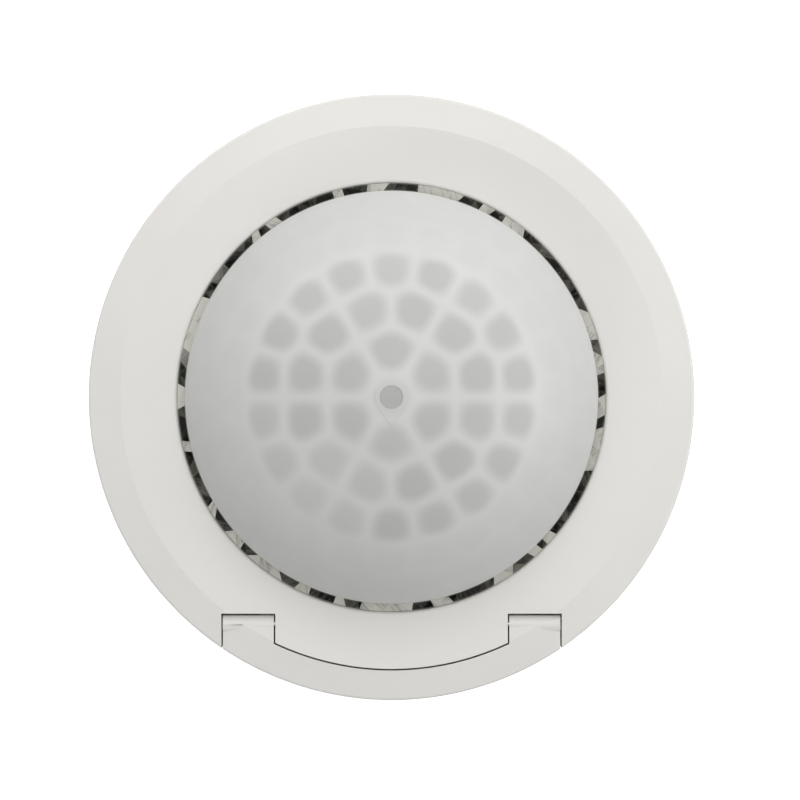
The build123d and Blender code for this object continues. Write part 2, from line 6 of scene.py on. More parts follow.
import bpy
import numpy as np
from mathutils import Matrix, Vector


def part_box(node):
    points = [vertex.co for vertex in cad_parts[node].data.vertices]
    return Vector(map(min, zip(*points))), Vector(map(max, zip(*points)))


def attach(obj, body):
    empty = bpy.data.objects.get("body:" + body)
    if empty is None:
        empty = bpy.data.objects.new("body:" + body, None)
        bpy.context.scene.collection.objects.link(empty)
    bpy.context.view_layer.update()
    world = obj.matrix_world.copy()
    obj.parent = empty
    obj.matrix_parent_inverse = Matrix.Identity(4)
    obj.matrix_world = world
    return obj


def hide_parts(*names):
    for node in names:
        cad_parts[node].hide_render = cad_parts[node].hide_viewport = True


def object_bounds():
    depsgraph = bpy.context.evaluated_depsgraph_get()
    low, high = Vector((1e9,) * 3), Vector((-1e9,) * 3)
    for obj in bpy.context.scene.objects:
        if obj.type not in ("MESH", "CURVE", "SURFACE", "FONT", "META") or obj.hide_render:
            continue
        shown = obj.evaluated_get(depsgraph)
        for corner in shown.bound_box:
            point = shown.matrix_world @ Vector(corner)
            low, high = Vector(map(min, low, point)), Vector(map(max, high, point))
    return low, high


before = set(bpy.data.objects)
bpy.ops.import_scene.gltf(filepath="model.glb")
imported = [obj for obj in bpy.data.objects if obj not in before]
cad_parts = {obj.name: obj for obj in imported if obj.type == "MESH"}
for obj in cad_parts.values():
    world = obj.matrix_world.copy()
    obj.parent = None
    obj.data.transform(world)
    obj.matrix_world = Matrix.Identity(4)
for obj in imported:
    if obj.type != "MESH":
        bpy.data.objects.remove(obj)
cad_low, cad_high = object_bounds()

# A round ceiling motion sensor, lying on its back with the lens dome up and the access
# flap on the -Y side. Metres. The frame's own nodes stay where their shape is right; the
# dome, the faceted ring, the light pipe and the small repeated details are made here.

MM = 0.001
FULL_TURN = 2.0 * math.pi
MERGE = 0.001 * MM
BASE_BODY = "base"
LOG = logging.getLogger("motion_sensor")

PLASTIC_IOR = 1.5
WHITE = (1.0, 1.0, 1.0, 1.0)

Colour = tuple[float, float, float]


class Slot(Enum):
    """The record's material slots, one passed with each new piece."""

    LENS = "lens_plastic"
    CLEAR = "clear_plastic"
    BRASS = "brass"
    STEEL = "steel"
    DIAL = "dial_plastic"


# ------------------------------------------------------------------ node helpers


class Graph:
    """Adds and links the nodes of one shader or geometry tree."""

    def __init__(self, tree: bpy.types.NodeTree) -> None:
        """Keeps the tree that the nodes go into."""
        self.tree = tree

    @staticmethod
    def enabled(sockets: bpy.types.bpy_prop_collection, name: str) -> bpy.types.NodeSocket:
        """Finds the socket of a name that the node's settings leave in use."""
        return next(s for s in sockets if s.name == name and s.enabled)

    def feed(self, socket: bpy.types.NodeSocket, value: object) -> None:
        """Links a socket into an input, or sets the input's own value.

        Args:
            socket: The input.
            value: Another node's output, or a plain value.
        """
        if isinstance(value, bpy.types.NodeSocket):
            self.tree.links.new(value, socket)
        else:
            socket.default_value = value

    def add(self, kind: str, settings: dict | None = None, inputs: dict | None = None) -> bpy.types.Node:
        """Adds one node.

        Args:
            kind: The node's type name.
            settings: Its settings by attribute name.
            inputs: What feeds its inputs, by socket name.

        Returns:
            The new node.
        """
        node = self.tree.nodes.new(kind)
        for key, value in (settings or {}).items():
            setattr(node, key, value)
        for key, value in (inputs or {}).items():
            self.feed(self.enabled(node.inputs, key), value)
        return node

    def math(self, operation: str, *values: object) -> bpy.types.NodeSocket:
        """Adds a Math node.

        Args:
            operation: Its operation.
            values: What feeds its inputs, in order.

        Returns:
            Its result.
        """
        node = self.add("ShaderNodeMath", {"operation": operation})
        for socket, value in zip(node.inputs, values):
            self.feed(socket, value)
        return node.outputs[0]

    def blend(self, share: object, first: object, second: object) -> bpy.types.NodeSocket:
        """Mixes two colours."""
        node = self.add("ShaderNodeMix", {"data_type": "RGBA"}, {"Factor": share, "A": first, "B": second})
        return self.enabled(node.outputs, "Result")

    def ramp(self, value: object, low: float, high: float, smooth: bool = False) -> bpy.types.NodeSocket:
        """Maps low..high to 0..1.

        Args:
            value: What is mapped.
            low: The value that gives 0.
            high: The value that gives 1.
            smooth: Whether the ends are eased.

        Returns:
            The mapped value, clamped.
        """
        kind = {"interpolation_type": "SMOOTHSTEP" if smooth else "LINEAR"}
        node = self.add("ShaderNodeMapRange", kind, {"Value": value, "From Min": low, "From Max": high})
        return node.outputs["Result"]

    def between(self, value: object, low: float, high: float) -> bpy.types.NodeSocket:
        """Maps 0..1 to low..high."""
        node = self.add("ShaderNodeMapRange", None, {"Value": value, "To Min": low, "To Max": high})
        return node.outputs["Result"]

    def vector(self, x: object = 0.0, y: object = 0.0, z: object = 0.0) -> bpy.types.NodeSocket:
        """Joins three numbers into a vector."""
        return self.add("ShaderNodeCombineXYZ", None, {"X": x, "Y": y, "Z": z}).outputs["Vector"]

    def noise(
        self, place: object, scale: object, detail: float = 2.0, **inputs: object
    ) -> bpy.types.NodeSocket:
        """Adds a noise texture."""
        fed = {"Vector": place, "Scale": scale, "Detail": detail, **inputs}
        return self.add("ShaderNodeTexNoise", None, fed).outputs["Fac"]

    def group(self, tree: bpy.types.NodeTree, **inputs: object) -> bpy.types.Node:
        """Places a shared group."""
        named = {key.replace("_", " "): value for key, value in inputs.items()}
        return self.add("ShaderNodeGroup", {"node_tree": tree}, named)

    def attribute(self, name: str) -> bpy.types.NodeSocket:
        """Reads a number stored on the mesh."""
        return self.add("ShaderNodeAttribute", {"attribute_name": name}).outputs["Fac"]

    def bump(self, height: object, distance: float, normal: object = None) -> None:
        """Adds a bump and feeds it into the material's shader.

        Args:
            height: The bump's height.
            distance: How high a height of 1 is.
            normal: The normal it starts from, if not the face's own.
        """
        inputs = {"Height": height, "Distance": distance}
        if normal is not None:
            inputs["Normal"] = normal
        node = self.add("ShaderNodeBump", None, inputs)
        self.feed(self.tree.nodes["Principled BSDF"].inputs["Normal"], node.outputs["Normal"])

    def settings(self, **values: object) -> None:
        """Sets numbers and colours of the material's shader that are the same all over.

        Args:
            values: The values, with _ for each space in an input's name.
        """
        shader = self.tree.nodes["Principled BSDF"]
        for key, value in values.items():
            shader.inputs[key.replace("_", " ")].default_value = value


def rgba(colour: Colour, share: float = 1.0) -> tuple[float, float, float, float]:
    """Gives a colour, lightened or darkened by a share, with its alpha."""
    red, green, blue = (min(1.0, part * share) for part in colour)
    return (red, green, blue, 1.0)


# ---------------------------------------------------------- shared shader effects


def new_group(
    name: str, inputs: dict[str, tuple[str, object]], outputs: dict[str, str]
) -> tuple[Graph, bpy.types.Node, bpy.types.Node]:
    """Starts a shader node group.

    Args:
        name: The group's name.
        inputs: Socket type and default value by input name.
        outputs: Socket type by output name.

    Returns:
        The group's graph, its input node and its output node.
    """
    tree = bpy.data.node_groups.new(name, "ShaderNodeTree")
    for label, (kind, value) in inputs.items():
        socket = tree.interface.new_socket(label, in_out="INPUT", socket_type=kind)
        if value is not None:
            socket.default_value = value
    for label, kind in outputs.items():
        tree.interface.new_socket(label, in_out="OUTPUT", socket_type=kind)
    graph = Graph(tree)
    return graph, graph.add("NodeGroupInput"), graph.add("NodeGroupOutput")


class Effects:
    """The shader node groups that more than one finish uses, each built once."""

    def __init__(self) -> None:
        """Builds the groups."""
        self.grain = self.build_grain()
        self.softened = self.build_softened()
        self.handling = self.build_handling()

    @staticmethod
    def build_grain() -> bpy.types.NodeTree:
        """Builds the spark-eroded grain of a mould: fine pits and a broad, faint mottle.

        Returns:
            The group, with Height for a bump and Mottle for colour and gloss.
        """
        graph, source, sink = new_group(
            "mould_grain",
            {
                "Vector": ("NodeSocketVector", None),
                "Grain Scale": ("NodeSocketFloat", 4000.0),
                "Mottle Scale": ("NodeSocketFloat", 60.0),
            },
            {"Height": "NodeSocketFloat", "Mottle": "NodeSocketFloat"},
        )
        place, scale = source.outputs["Vector"], source.outputs["Grain Scale"]
        fed = {"Vector": place, "Scale": scale, "Smoothness": 0.8}
        pits = graph.add("ShaderNodeTexVoronoi", {"feature": "SMOOTH_F1"}, fed)
        waves = graph.noise(place, graph.math("MULTIPLY", scale, 0.35))
        deep = graph.math("MULTIPLY", pits.outputs["Distance"], 0.6)
        graph.feed(sink.inputs["Height"], graph.math("MULTIPLY_ADD", waves, 0.5, deep))
        mottle = graph.noise(place, source.outputs["Mottle Scale"], 3.0, Roughness=0.55)
        graph.feed(sink.inputs["Mottle"], graph.ramp(mottle, 0.3, 0.7, smooth=True))
        return graph.tree

    @staticmethod
    def build_softened() -> bpy.types.NodeTree:
        """Builds softened edges: a normal rounded over every crisp edge, and a mask of those edges.

        Returns:
            The group, with Normal and Edge.
        """
        graph, source, sink = new_group(
            "softened_edges",
            {"Radius": ("NodeSocketFloat", 0.00015)},
            {"Normal": "NodeSocketVector", "Edge": "NodeSocketFloat"},
        )
        bevel = graph.add("ShaderNodeBevel", {"samples": 4}, {"Radius": source.outputs["Radius"]})
        flat = graph.add("ShaderNodeNewGeometry")
        dot = graph.add("ShaderNodeVectorMath", {"operation": "DOT_PRODUCT"})
        graph.feed(dot.inputs[0], bevel.outputs["Normal"])
        graph.feed(dot.inputs[1], flat.outputs["Normal"])
        graph.feed(sink.inputs["Normal"], bevel.outputs["Normal"])
        graph.feed(sink.inputs["Edge"], graph.ramp(dot.outputs["Value"], 0.995, 0.8, smooth=True))
        return graph.tree

    @staticmethod
    def build_handling() -> bpy.types.NodeTree:
        """Builds handling marks: broad, faint smears where fingers have been.

        Returns:
            The group, with Smear.
        """
        graph, source, sink = new_group(
            "handling_marks",
            {"Vector": ("NodeSocketVector", None), "Scale": ("NodeSocketFloat", 45.0)},
            {"Smear": "NodeSocketFloat"},
        )
        smears = graph.noise(source.outputs["Vector"], source.outputs["Scale"], 5.0, Distortion=1.2)
        graph.feed(sink.inputs["Smear"], graph.ramp(smears, 0.52, 0.72, smooth=True))
        return graph.tree


# ---------------------------------------------------------------------- finishes


@dataclass(frozen=True)
class Finish:
    """What every finish has: a name, and the effects it draws on."""

    name: str
    effects: Effects

    def start(self) -> tuple[bpy.types.Material, Graph, bpy.types.Node, bpy.types.NodeSocket]:
        """Starts a material.

        Returns:
            The material, its graph, its Principled BSDF, and Object coordinates.
        """
        material = bpy.data.materials.new(self.name)
        material.use_nodes = True
        graph = Graph(material.node_tree)
        shader = material.node_tree.nodes["Principled BSDF"]
        place = graph.add("ShaderNodeTexCoord").outputs["Object"]
        return material, graph, shader, place


@dataclass(frozen=True)
class Moulding(Finish):
    """Moulded plastic with the grain of its mould, softened edges and a little handling."""

    colour: Colour = (0.7, 0.7, 0.7)
    roughness: float = 0.42
    grain_size: float = 0.22 * MM
    grain_depth: float = 0.004 * MM
    mottle: float = 0.012
    edge_radius: float = 0.12 * MM
    edge_light: float = 0.05
    gloss_change: float = 0.03
    smear_gloss: float = 0.04

    def material(self) -> bpy.types.Material:
        """Builds the material.

        Returns:
            The material.
        """
        material, graph, shader, place = self.start()
        fineness = 1.0 / self.grain_size
        grain = graph.group(self.effects.grain, Vector=place, Grain_Scale=fineness, Mottle_Scale=45.0)
        soft = graph.group(self.effects.softened, Radius=self.edge_radius)
        marks = graph.group(self.effects.handling, Vector=place, Scale=38.0)
        mottle = grain.outputs["Mottle"]
        darker, lighter = rgba(self.colour, 1.0 - self.mottle), rgba(self.colour, 1.0 + self.mottle)
        plain = graph.blend(mottle, darker, lighter)
        # Painted highlight: every crisp edge is lightened towards white by edge_light.
        painted_light_colour = graph.blend(graph.math("MULTIPLY", soft.outputs["Edge"], self.edge_light), plain, WHITE)
        graph.feed(shader.inputs["Base Color"], painted_light_colour)
        gloss = graph.between(mottle, self.roughness - self.gloss_change, self.roughness + self.gloss_change)
        smeared = graph.math("MULTIPLY", marks.outputs["Smear"], -self.smear_gloss)
        graph.feed(shader.inputs["Roughness"], graph.math("ADD", gloss, smeared))
        graph.bump(grain.outputs["Height"], self.grain_depth, soft.outputs["Normal"])
        graph.settings(IOR=PLASTIC_IOR)
        return material


@dataclass(frozen=True)
class MilkyLens(Finish):
    """Milky lens plastic: thin, darker lens cells in a thicker, lighter web."""

    web: Colour = (0.592, 0.590, 0.578)
    cell: Colour = (0.455, 0.453, 0.443)
    band: Colour = (0.585, 0.585, 0.575)
    mark: Colour = (0.40, 0.40, 0.395)
    roughness: float = 0.52
    cloud: float = 0.05
    grain_depth: float = 0.002 * MM
    scatter: float = 0.25
    scatter_depth: float = 0.8 * MM

    def material(self) -> bpy.types.Material:
        """Builds the material, which reads the dome's own cell, band and mark attributes.

        Returns:
            The material.
        """
        material, graph, shader, place = self.start()
        grain = graph.group(self.effects.grain, Vector=place, Grain_Scale=5200.0, Mottle_Scale=160.0)
        mottle = grain.outputs["Mottle"]
        ground = graph.blend(graph.attribute("band"), rgba(self.web), rgba(self.band))
        celled = graph.blend(graph.attribute("cell"), ground, rgba(self.cell))
        marked = graph.blend(graph.attribute("mark"), celled, rgba(self.mark))
        cloudy = graph.blend(graph.math("MULTIPLY", mottle, self.cloud), marked, rgba(self.cell, 0.8))
        graph.feed(shader.inputs["Base Color"], cloudy)
        gloss = graph.between(mottle, self.roughness - 0.03, self.roughness + 0.04)
        graph.feed(shader.inputs["Roughness"], gloss)
        graph.bump(grain.outputs["Height"], self.grain_depth)
        graph.settings(
            IOR=PLASTIC_IOR,
            Subsurface_Weight=self.scatter,
            Subsurface_Radius=(1.0, 1.0, 1.0),
            Subsurface_Scale=self.scatter_depth,
        )
        return material


@dataclass(frozen=True)
class FacetedClear(Finish):
    """Clear plastic cut in facets, drawn opaque with painted colours: painted shade where the facets would
    show the dark inside, and painted light where they would show the bright cover behind them.
    """

    dark: Colour = (0.003, 0.003, 0.002)
    middle: Colour = (0.075, 0.073, 0.060)
    light: Colour = (0.56, 0.555, 0.505)
    edge: Colour = (0.30, 0.297, 0.265)
    middle_radius: float = 37.47 * MM
    edge_start: float = 0.42 * MM
    edge_end: float = 0.85 * MM
    lean: float = 3.0
    stretch: float = 0.22
    streak_scale: float = 1500.0
    cloud_scale: float = 420.0
    facet_share: float = 0.4
    cloud_share: float = 0.8
    lift_range: tuple[float, float] = (1.0, 1.4)
    veil_range: tuple[float, float] = (0.68, 0.42)
    veil_share: float = 0.66
    half_tone: tuple[float, float] = (0.53, 0.55)
    light_tone: tuple[float, float] = (0.61, 0.63)

    def material(self) -> bpy.types.Material:
        """Builds the material, which reads the ring's own tone and facet attributes.

        Returns:
            The material.
        """
        material, graph, shader, place = self.start()
        tone, facet = graph.attribute("tone"), graph.attribute("facet")
        parts = graph.add("ShaderNodeSeparateXYZ", None, {"Vector": place})
        squares = [graph.math("MULTIPLY", parts.outputs[axis], parts.outputs[axis]) for axis in "XY"]
        radius = graph.math("SQRT", graph.math("ADD", *squares))
        off_middle = graph.math("SUBTRACT", radius, self.middle_radius)
        turn = graph.math("ARCTAN2", parts.outputs["Y"], parts.outputs["X"])
        lean = graph.math("MULTIPLY", graph.math("SUBTRACT", facet, 0.5), self.lean)
        along = graph.math("MULTIPLY_ADD", turn, self.middle_radius, graph.math("MULTIPLY", off_middle, lean))
        strip = graph.vector(along, graph.math("MULTIPLY", off_middle, self.stretch))
        streaks = graph.noise(strip, self.streak_scale)
        clouds = graph.noise(strip, self.cloud_scale)
        mixed = graph.math("MULTIPLY_ADD", facet, self.facet_share, streaks)
        clouded = graph.math("MULTIPLY_ADD", clouds, self.cloud_share, mixed)
        lift = graph.ramp(clouded, *self.lift_range, smooth=True)
        # Painted shade: dark facets, and half-tone facets, stand for the dark inside seen through the ring.
        deep = graph.blend(lift, rgba(self.dark), rgba(self.middle))
        painted_light_colour = graph.blend(lift, rgba(self.middle, 0.7), rgba(self.middle, 2.0))
        half = graph.blend(graph.ramp(tone, *self.half_tone), deep, painted_light_colour)
        # Painted light: the lip turns lighter towards both its edges.
        rim = graph.ramp(graph.math("ABSOLUTE", off_middle), self.edge_start, self.edge_end, smooth=True)
        edged = graph.blend(rim, half, rgba(self.edge))
        # Painted light: light facets stand for the bright cover seen behind them, some a little darker.
        veil = graph.ramp(mixed, *self.veil_range, smooth=True)
        veiled = graph.blend(veil, rgba(self.light), rgba(self.light, self.veil_share))
        toned = graph.blend(graph.ramp(tone, *self.light_tone), edged, veiled)
        graph.feed(shader.inputs["Base Color"], toned)
        graph.feed(shader.inputs["Roughness"], graph.between(clouds, 0.12, 0.3))
        graph.settings(IOR=1.25, Specular_IOR_Level=0.25)
        return material


@dataclass(frozen=True)
class ClearPlastic(Finish):
    """Clear or frosted moulded acrylic."""

    colour: Colour = (0.9, 0.9, 0.88)
    roughness: float = 0.08
    clearness: float = 1.0

    def material(self) -> bpy.types.Material:
        """Builds the material.

        Returns:
            The material.
        """
        material, graph, shader, place = self.start()
        grain = graph.group(self.effects.grain, Vector=place, Grain_Scale=3000.0, Mottle_Scale=300.0)
        mottle = grain.outputs["Mottle"]
        tinted = graph.blend(mottle, rgba(self.colour), rgba(self.colour, 0.94))
        graph.feed(shader.inputs["Base Color"], tinted)
        graph.feed(shader.inputs["Roughness"], graph.between(mottle, self.roughness, self.roughness + 0.06))
        graph.settings(Transmission_Weight=self.clearness, IOR=1.49)
        return material


@dataclass(frozen=True)
class PlatedMetal(Finish):
    """Plated or drawn metal with fine lengthwise scratches."""

    colour: Colour = (0.6, 0.6, 0.6)
    roughness: float = 0.3

    def material(self) -> bpy.types.Material:
        """Builds the material.

        Returns:
            The material.
        """
        material, graph, shader, place = self.start()
        stretch = graph.add("ShaderNodeMapping", None, {"Vector": place, "Scale": (1.0, 1.0, 0.08)})
        scratches = graph.noise(stretch.outputs["Vector"], 5000.0, 4.0)
        soft = graph.group(self.effects.softened, Radius=0.08 * MM)
        dull = graph.blend(scratches, rgba(self.colour, 0.85), rgba(self.colour, 1.1))
        # Painted highlight: every crisp edge is lightened to half again the metal's colour.
        painted_light_colour = graph.blend(graph.math("MULTIPLY", soft.outputs["Edge"], 0.3), dull, rgba(self.colour, 1.5))
        graph.feed(shader.inputs["Base Color"], painted_light_colour)
        gloss = graph.between(scratches, self.roughness - 0.08, self.roughness + 0.12)
        graph.feed(shader.inputs["Roughness"], gloss)
        graph.bump(scratches, 0.002 * MM, soft.outputs["Normal"])
        graph.settings(Metallic=1.0)
        return material


@dataclass(frozen=True)
class CircuitBoard(Finish):
    """Solder mask over glass fibre, with the copper tracks showing through as lighter lines."""

    mask: Colour = (0.012, 0.095, 0.035)
    track: Colour = (0.03, 0.19, 0.07)
    track_scale: float = 260.0
    weave_scale: float = 900.0

    def material(self) -> bpy.types.Material:
        """Builds the material.

        Returns:
            The material.
        """
        material, graph, shader, place = self.start()
        near, far = (
            graph.add(
                "ShaderNodeTexVoronoi",
                {"feature": feature, "distance": "MANHATTAN"},
                {"Vector": place, "Scale": self.track_scale},
            ).outputs["Distance"]
            for feature in ("F1", "F2")
        )
        gap = graph.math("SUBTRACT", far, near)
        tracks = graph.ramp(gap, 0.16, 0.12)
        fed = {"Vector": place, "Scale": self.weave_scale}
        weave = graph.add("ShaderNodeTexWave", {"bands_direction": "DIAGONAL"}, fed)
        woven = graph.blend(weave.outputs["Fac"], rgba(self.mask, 0.85), rgba(self.mask))
        graph.feed(shader.inputs["Base Color"], graph.blend(tracks, woven, rgba(self.track)))
        graph.feed(shader.inputs["Roughness"], graph.between(tracks, 0.38, 0.26))
        graph.bump(tracks, 0.03 * MM)
        return material


@dataclass(frozen=True)
class PaleFloor(Finish):
    """The studio's plain pale floor: seen, it glows like a light table; to the object it is a grey card.

    Under the object, and fading out just past its edge, a painted shade darkens it, and from below it is
    clear, so that the back can be seen.
    """

    seen: Colour = (0.93, 0.93, 0.93)
    bounce: Colour = (0.40, 0.40, 0.40)
    painted_shade: Colour = (0.03, 0.03, 0.03)
    glow: float = 0.75
    shade_radius: float = 50.5 * MM
    shade_fade: float = 4.5 * MM

    def material(self) -> bpy.types.Material:
        """Builds the material.

        Returns:
            The material.
        """
        material, graph, shader, place = self.start()
        camera = graph.add("ShaderNodeLightPath").outputs["Is Camera Ray"]
        behind = graph.add("ShaderNodeNewGeometry").outputs["Backfacing"]
        pale = graph.blend(graph.noise(place, 12.0, 4.0), rgba(self.seen), rgba(self.seen, 0.99))
        flat = graph.add("ShaderNodeVectorMath", {"operation": "MULTIPLY"}, {"Vector": place})
        flat.inputs[1].default_value = (1.0, 1.0, 0.0)
        across = {"Vector": flat.outputs["Vector"]}
        reach = graph.add("ShaderNodeVectorMath", {"operation": "LENGTH"}, across).outputs["Value"]
        # Painted shadow: under the object, fading out just past its edge, the floor is painted dark and loses
        # its glow.
        away = graph.ramp(reach, self.shade_radius, self.shade_radius + self.shade_fade, smooth=True)
        colour = graph.blend(camera, rgba(self.bounce), pale)
        graph.feed(shader.inputs["Base Color"], graph.blend(away, rgba(self.painted_shade), colour))
        graph.settings(Roughness=0.9, Emission_Color=WHITE)
        lit = graph.math("MULTIPLY", camera, away)
        graph.feed(shader.inputs["Emission Strength"], graph.math("MULTIPLY", lit, self.glow))
        under = graph.math("LESS_THAN", reach, self.shade_radius)
        unseen = graph.math("MULTIPLY", under, graph.math("SUBTRACT", 1.0, camera))
        gone = graph.math("MAXIMUM", behind, unseen)
        clear = graph.add("ShaderNodeBsdfTransparent")
        both = graph.add("ShaderNodeMixShader")
        for socket, value in zip(both.inputs, (gone, shader.outputs[0], clear.outputs[0])):
            graph.feed(socket, value)
        graph.feed(material.node_tree.nodes["Material Output"].inputs["Surface"], both.outputs[0])
        return material


class Finishes:
    """Every material of the object, made once and handed out by name."""

    def __init__(self) -> None:
        """Builds the materials."""
        effects = Effects()

        def moulded(name: str, colour: Colour, **changes: float) -> bpy.types.Material:
            """Makes one moulded plastic."""
            return Moulding(name, effects, colour, **changes).material()

        def plated(name: str, colour: Colour, roughness: float) -> bpy.types.Material:
            """Makes one metal."""
            return PlatedMetal(name, effects, colour, roughness).material()

        self.cover = moulded("cover_satin", (0.705, 0.692, 0.662))
        self.housing = moulded("housing_satin", (0.62, 0.61, 0.585), roughness=0.5, mottle=0.02)
        self.panel = moulded("panel_grey", (0.075, 0.078, 0.082), roughness=0.5, edge_light=0.12)
        self.dial = moulded("dial_grey", (0.42, 0.42, 0.41), roughness=0.38)
        self.button = moulded("button_red", (0.46, 0.035, 0.022), roughness=0.28)
        self.terminal = moulded("terminal_green", (0.02, 0.10, 0.055), roughness=0.45)
        self.black = moulded("black_moulding", (0.016, 0.016, 0.017), edge_light=0.1)
        self.sleeve = moulded("capacitor_sleeve", (0.012, 0.022, 0.07), roughness=0.22)
        self.resin = moulded("film_resin", (0.42, 0.20, 0.02), roughness=0.2, grain_depth=0.01 * MM)
        self.rubber = moulded("grommet_rubber", (0.02, 0.02, 0.02), roughness=0.75, grain_depth=0.01 * MM)
        self.filter = moulded("detector_filter", (0.02, 0.012, 0.022), roughness=0.08, grain_depth=0.0)
        self.steel = plated("zinc_plate", (0.62, 0.62, 0.60), 0.3)
        self.can = plated("detector_can", (0.70, 0.69, 0.66), 0.22)
        self.brass = plated("brass", (0.70, 0.47, 0.18), 0.28)
        self.copper = plated("enamelled_copper", (0.62, 0.22, 0.08), 0.25)
        self.milky = MilkyLens("milky_lens", effects).material()
        self.facets = FacetedClear("faceted_clear", effects).material()
        self.clear = ClearPlastic("clear_acrylic", effects).material()
        frost = (0.385, 0.385, 0.38)
        self.frosted = ClearPlastic("frosted_tip", effects, frost, 0.4, clearness=0.0).material()
        self.board = CircuitBoard("circuit_board", effects).material()
        self.floor = PaleFloor("pale_floor", effects).material()


# ------------------------------------------------------------------ mesh helpers


def make_object(name: str, data: bpy.types.ID) -> bpy.types.Object:
    """Puts a mesh, curve, lamp or camera into the scene.

    Args:
        name: The new object's name.
        data: What it holds.

    Returns:
        The object, at the origin.
    """
    obj = bpy.data.objects.new(name, data)
    bpy.context.scene.collection.objects.link(obj)
    return obj


def lathe(name: str, outline: np.ndarray, segments: int, capped: bool = False) -> bpy.types.Mesh:
    """Turns an outline about the Z axis.

    Args:
        name: The mesh's name.
        outline: Radius and height of each point, in order.
        segments: Steps round the axis.
        capped: Whether the outline is open and flat faces close its two ends. If not, it is a loop.

    Returns:
        The closed mesh. Vertex i * len(outline) + j is outline point j at step i.
    """
    count = len(outline)
    turns = np.arange(segments) * FULL_TURN / segments
    points = np.empty((segments, count, 3))
    points[:, :, 0] = np.cos(turns)[:, None] * outline[:, 0]
    points[:, :, 1] = np.sin(turns)[:, None] * outline[:, 0]
    points[:, :, 2] = outline[:, 1]
    strips = count - 1 if capped else count
    row, column = np.meshgrid(np.arange(segments), np.arange(strips), indexing="ij")
    here, there = row * count, (row + 1) % segments * count
    after = (column + 1) % count
    corners = np.stack([here + column, there + column, there + after, here + after], axis=-1)
    faces = corners.reshape(-1, 4).tolist()
    if capped:
        first = np.arange(segments) * count
        faces += [first.tolist(), (first + count - 1)[::-1].tolist()]
    mesh = bpy.data.meshes.new(name)
    mesh.from_pydata(points.reshape(-1, 3).tolist(), [], faces)
    return mesh


def smooth_faces(mesh: bpy.types.Mesh, crisp_degrees: float = 35.0) -> None:
    """Shades a mesh smooth, with crisp edges where it turns sharply."""
    mesh.polygons.foreach_set("use_smooth", np.ones(len(mesh.polygons), dtype=bool))
    mesh.set_sharp_from_angle(angle=math.radians(crisp_degrees))


def store(mesh: bpy.types.Mesh, name: str, values: np.ndarray) -> None:
    """Stores one number on every vertex."""
    attribute = mesh.attributes.new(name, "FLOAT", "POINT")
    attribute.data.foreach_set("value", values.astype(np.float32))


def ease(values: np.ndarray, low: float, high: float) -> np.ndarray:
    """Eases values from 0 at low to 1 at high."""
    share = np.clip((values - low) / (high - low), 0.0, 1.0)
    return share * share * (3.0 - 2.0 * share)


def settle(obj: bpy.types.Object, slot: Slot, *stands_for: str) -> None:
    """Hands a finished piece to the frame, riding on its base.

    Args:
        obj: The piece.
        slot: The record's slot; not used.
        stands_for: The frame's nodes that it replaces.
    """
    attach(obj, BASE_BODY)
    if stands_for:
        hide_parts(*stands_for)
    LOG.info("%s: %d faces", obj.name, len(obj.data.polygons))


def middle_of(node: str) -> Vector:
    """Finds the middle of a frame node's box."""
    low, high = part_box(node)
    return (Vector(low) + Vector(high)) / 2.0


# --------------------------------------------------------------------- lens dome


@dataclass(frozen=True)
class CellRing:
    """One ring of lens cells: its angle from the dome's axis, how many, where they start, how strong."""

    angle: float
    count: int
    start: float
    strength: float


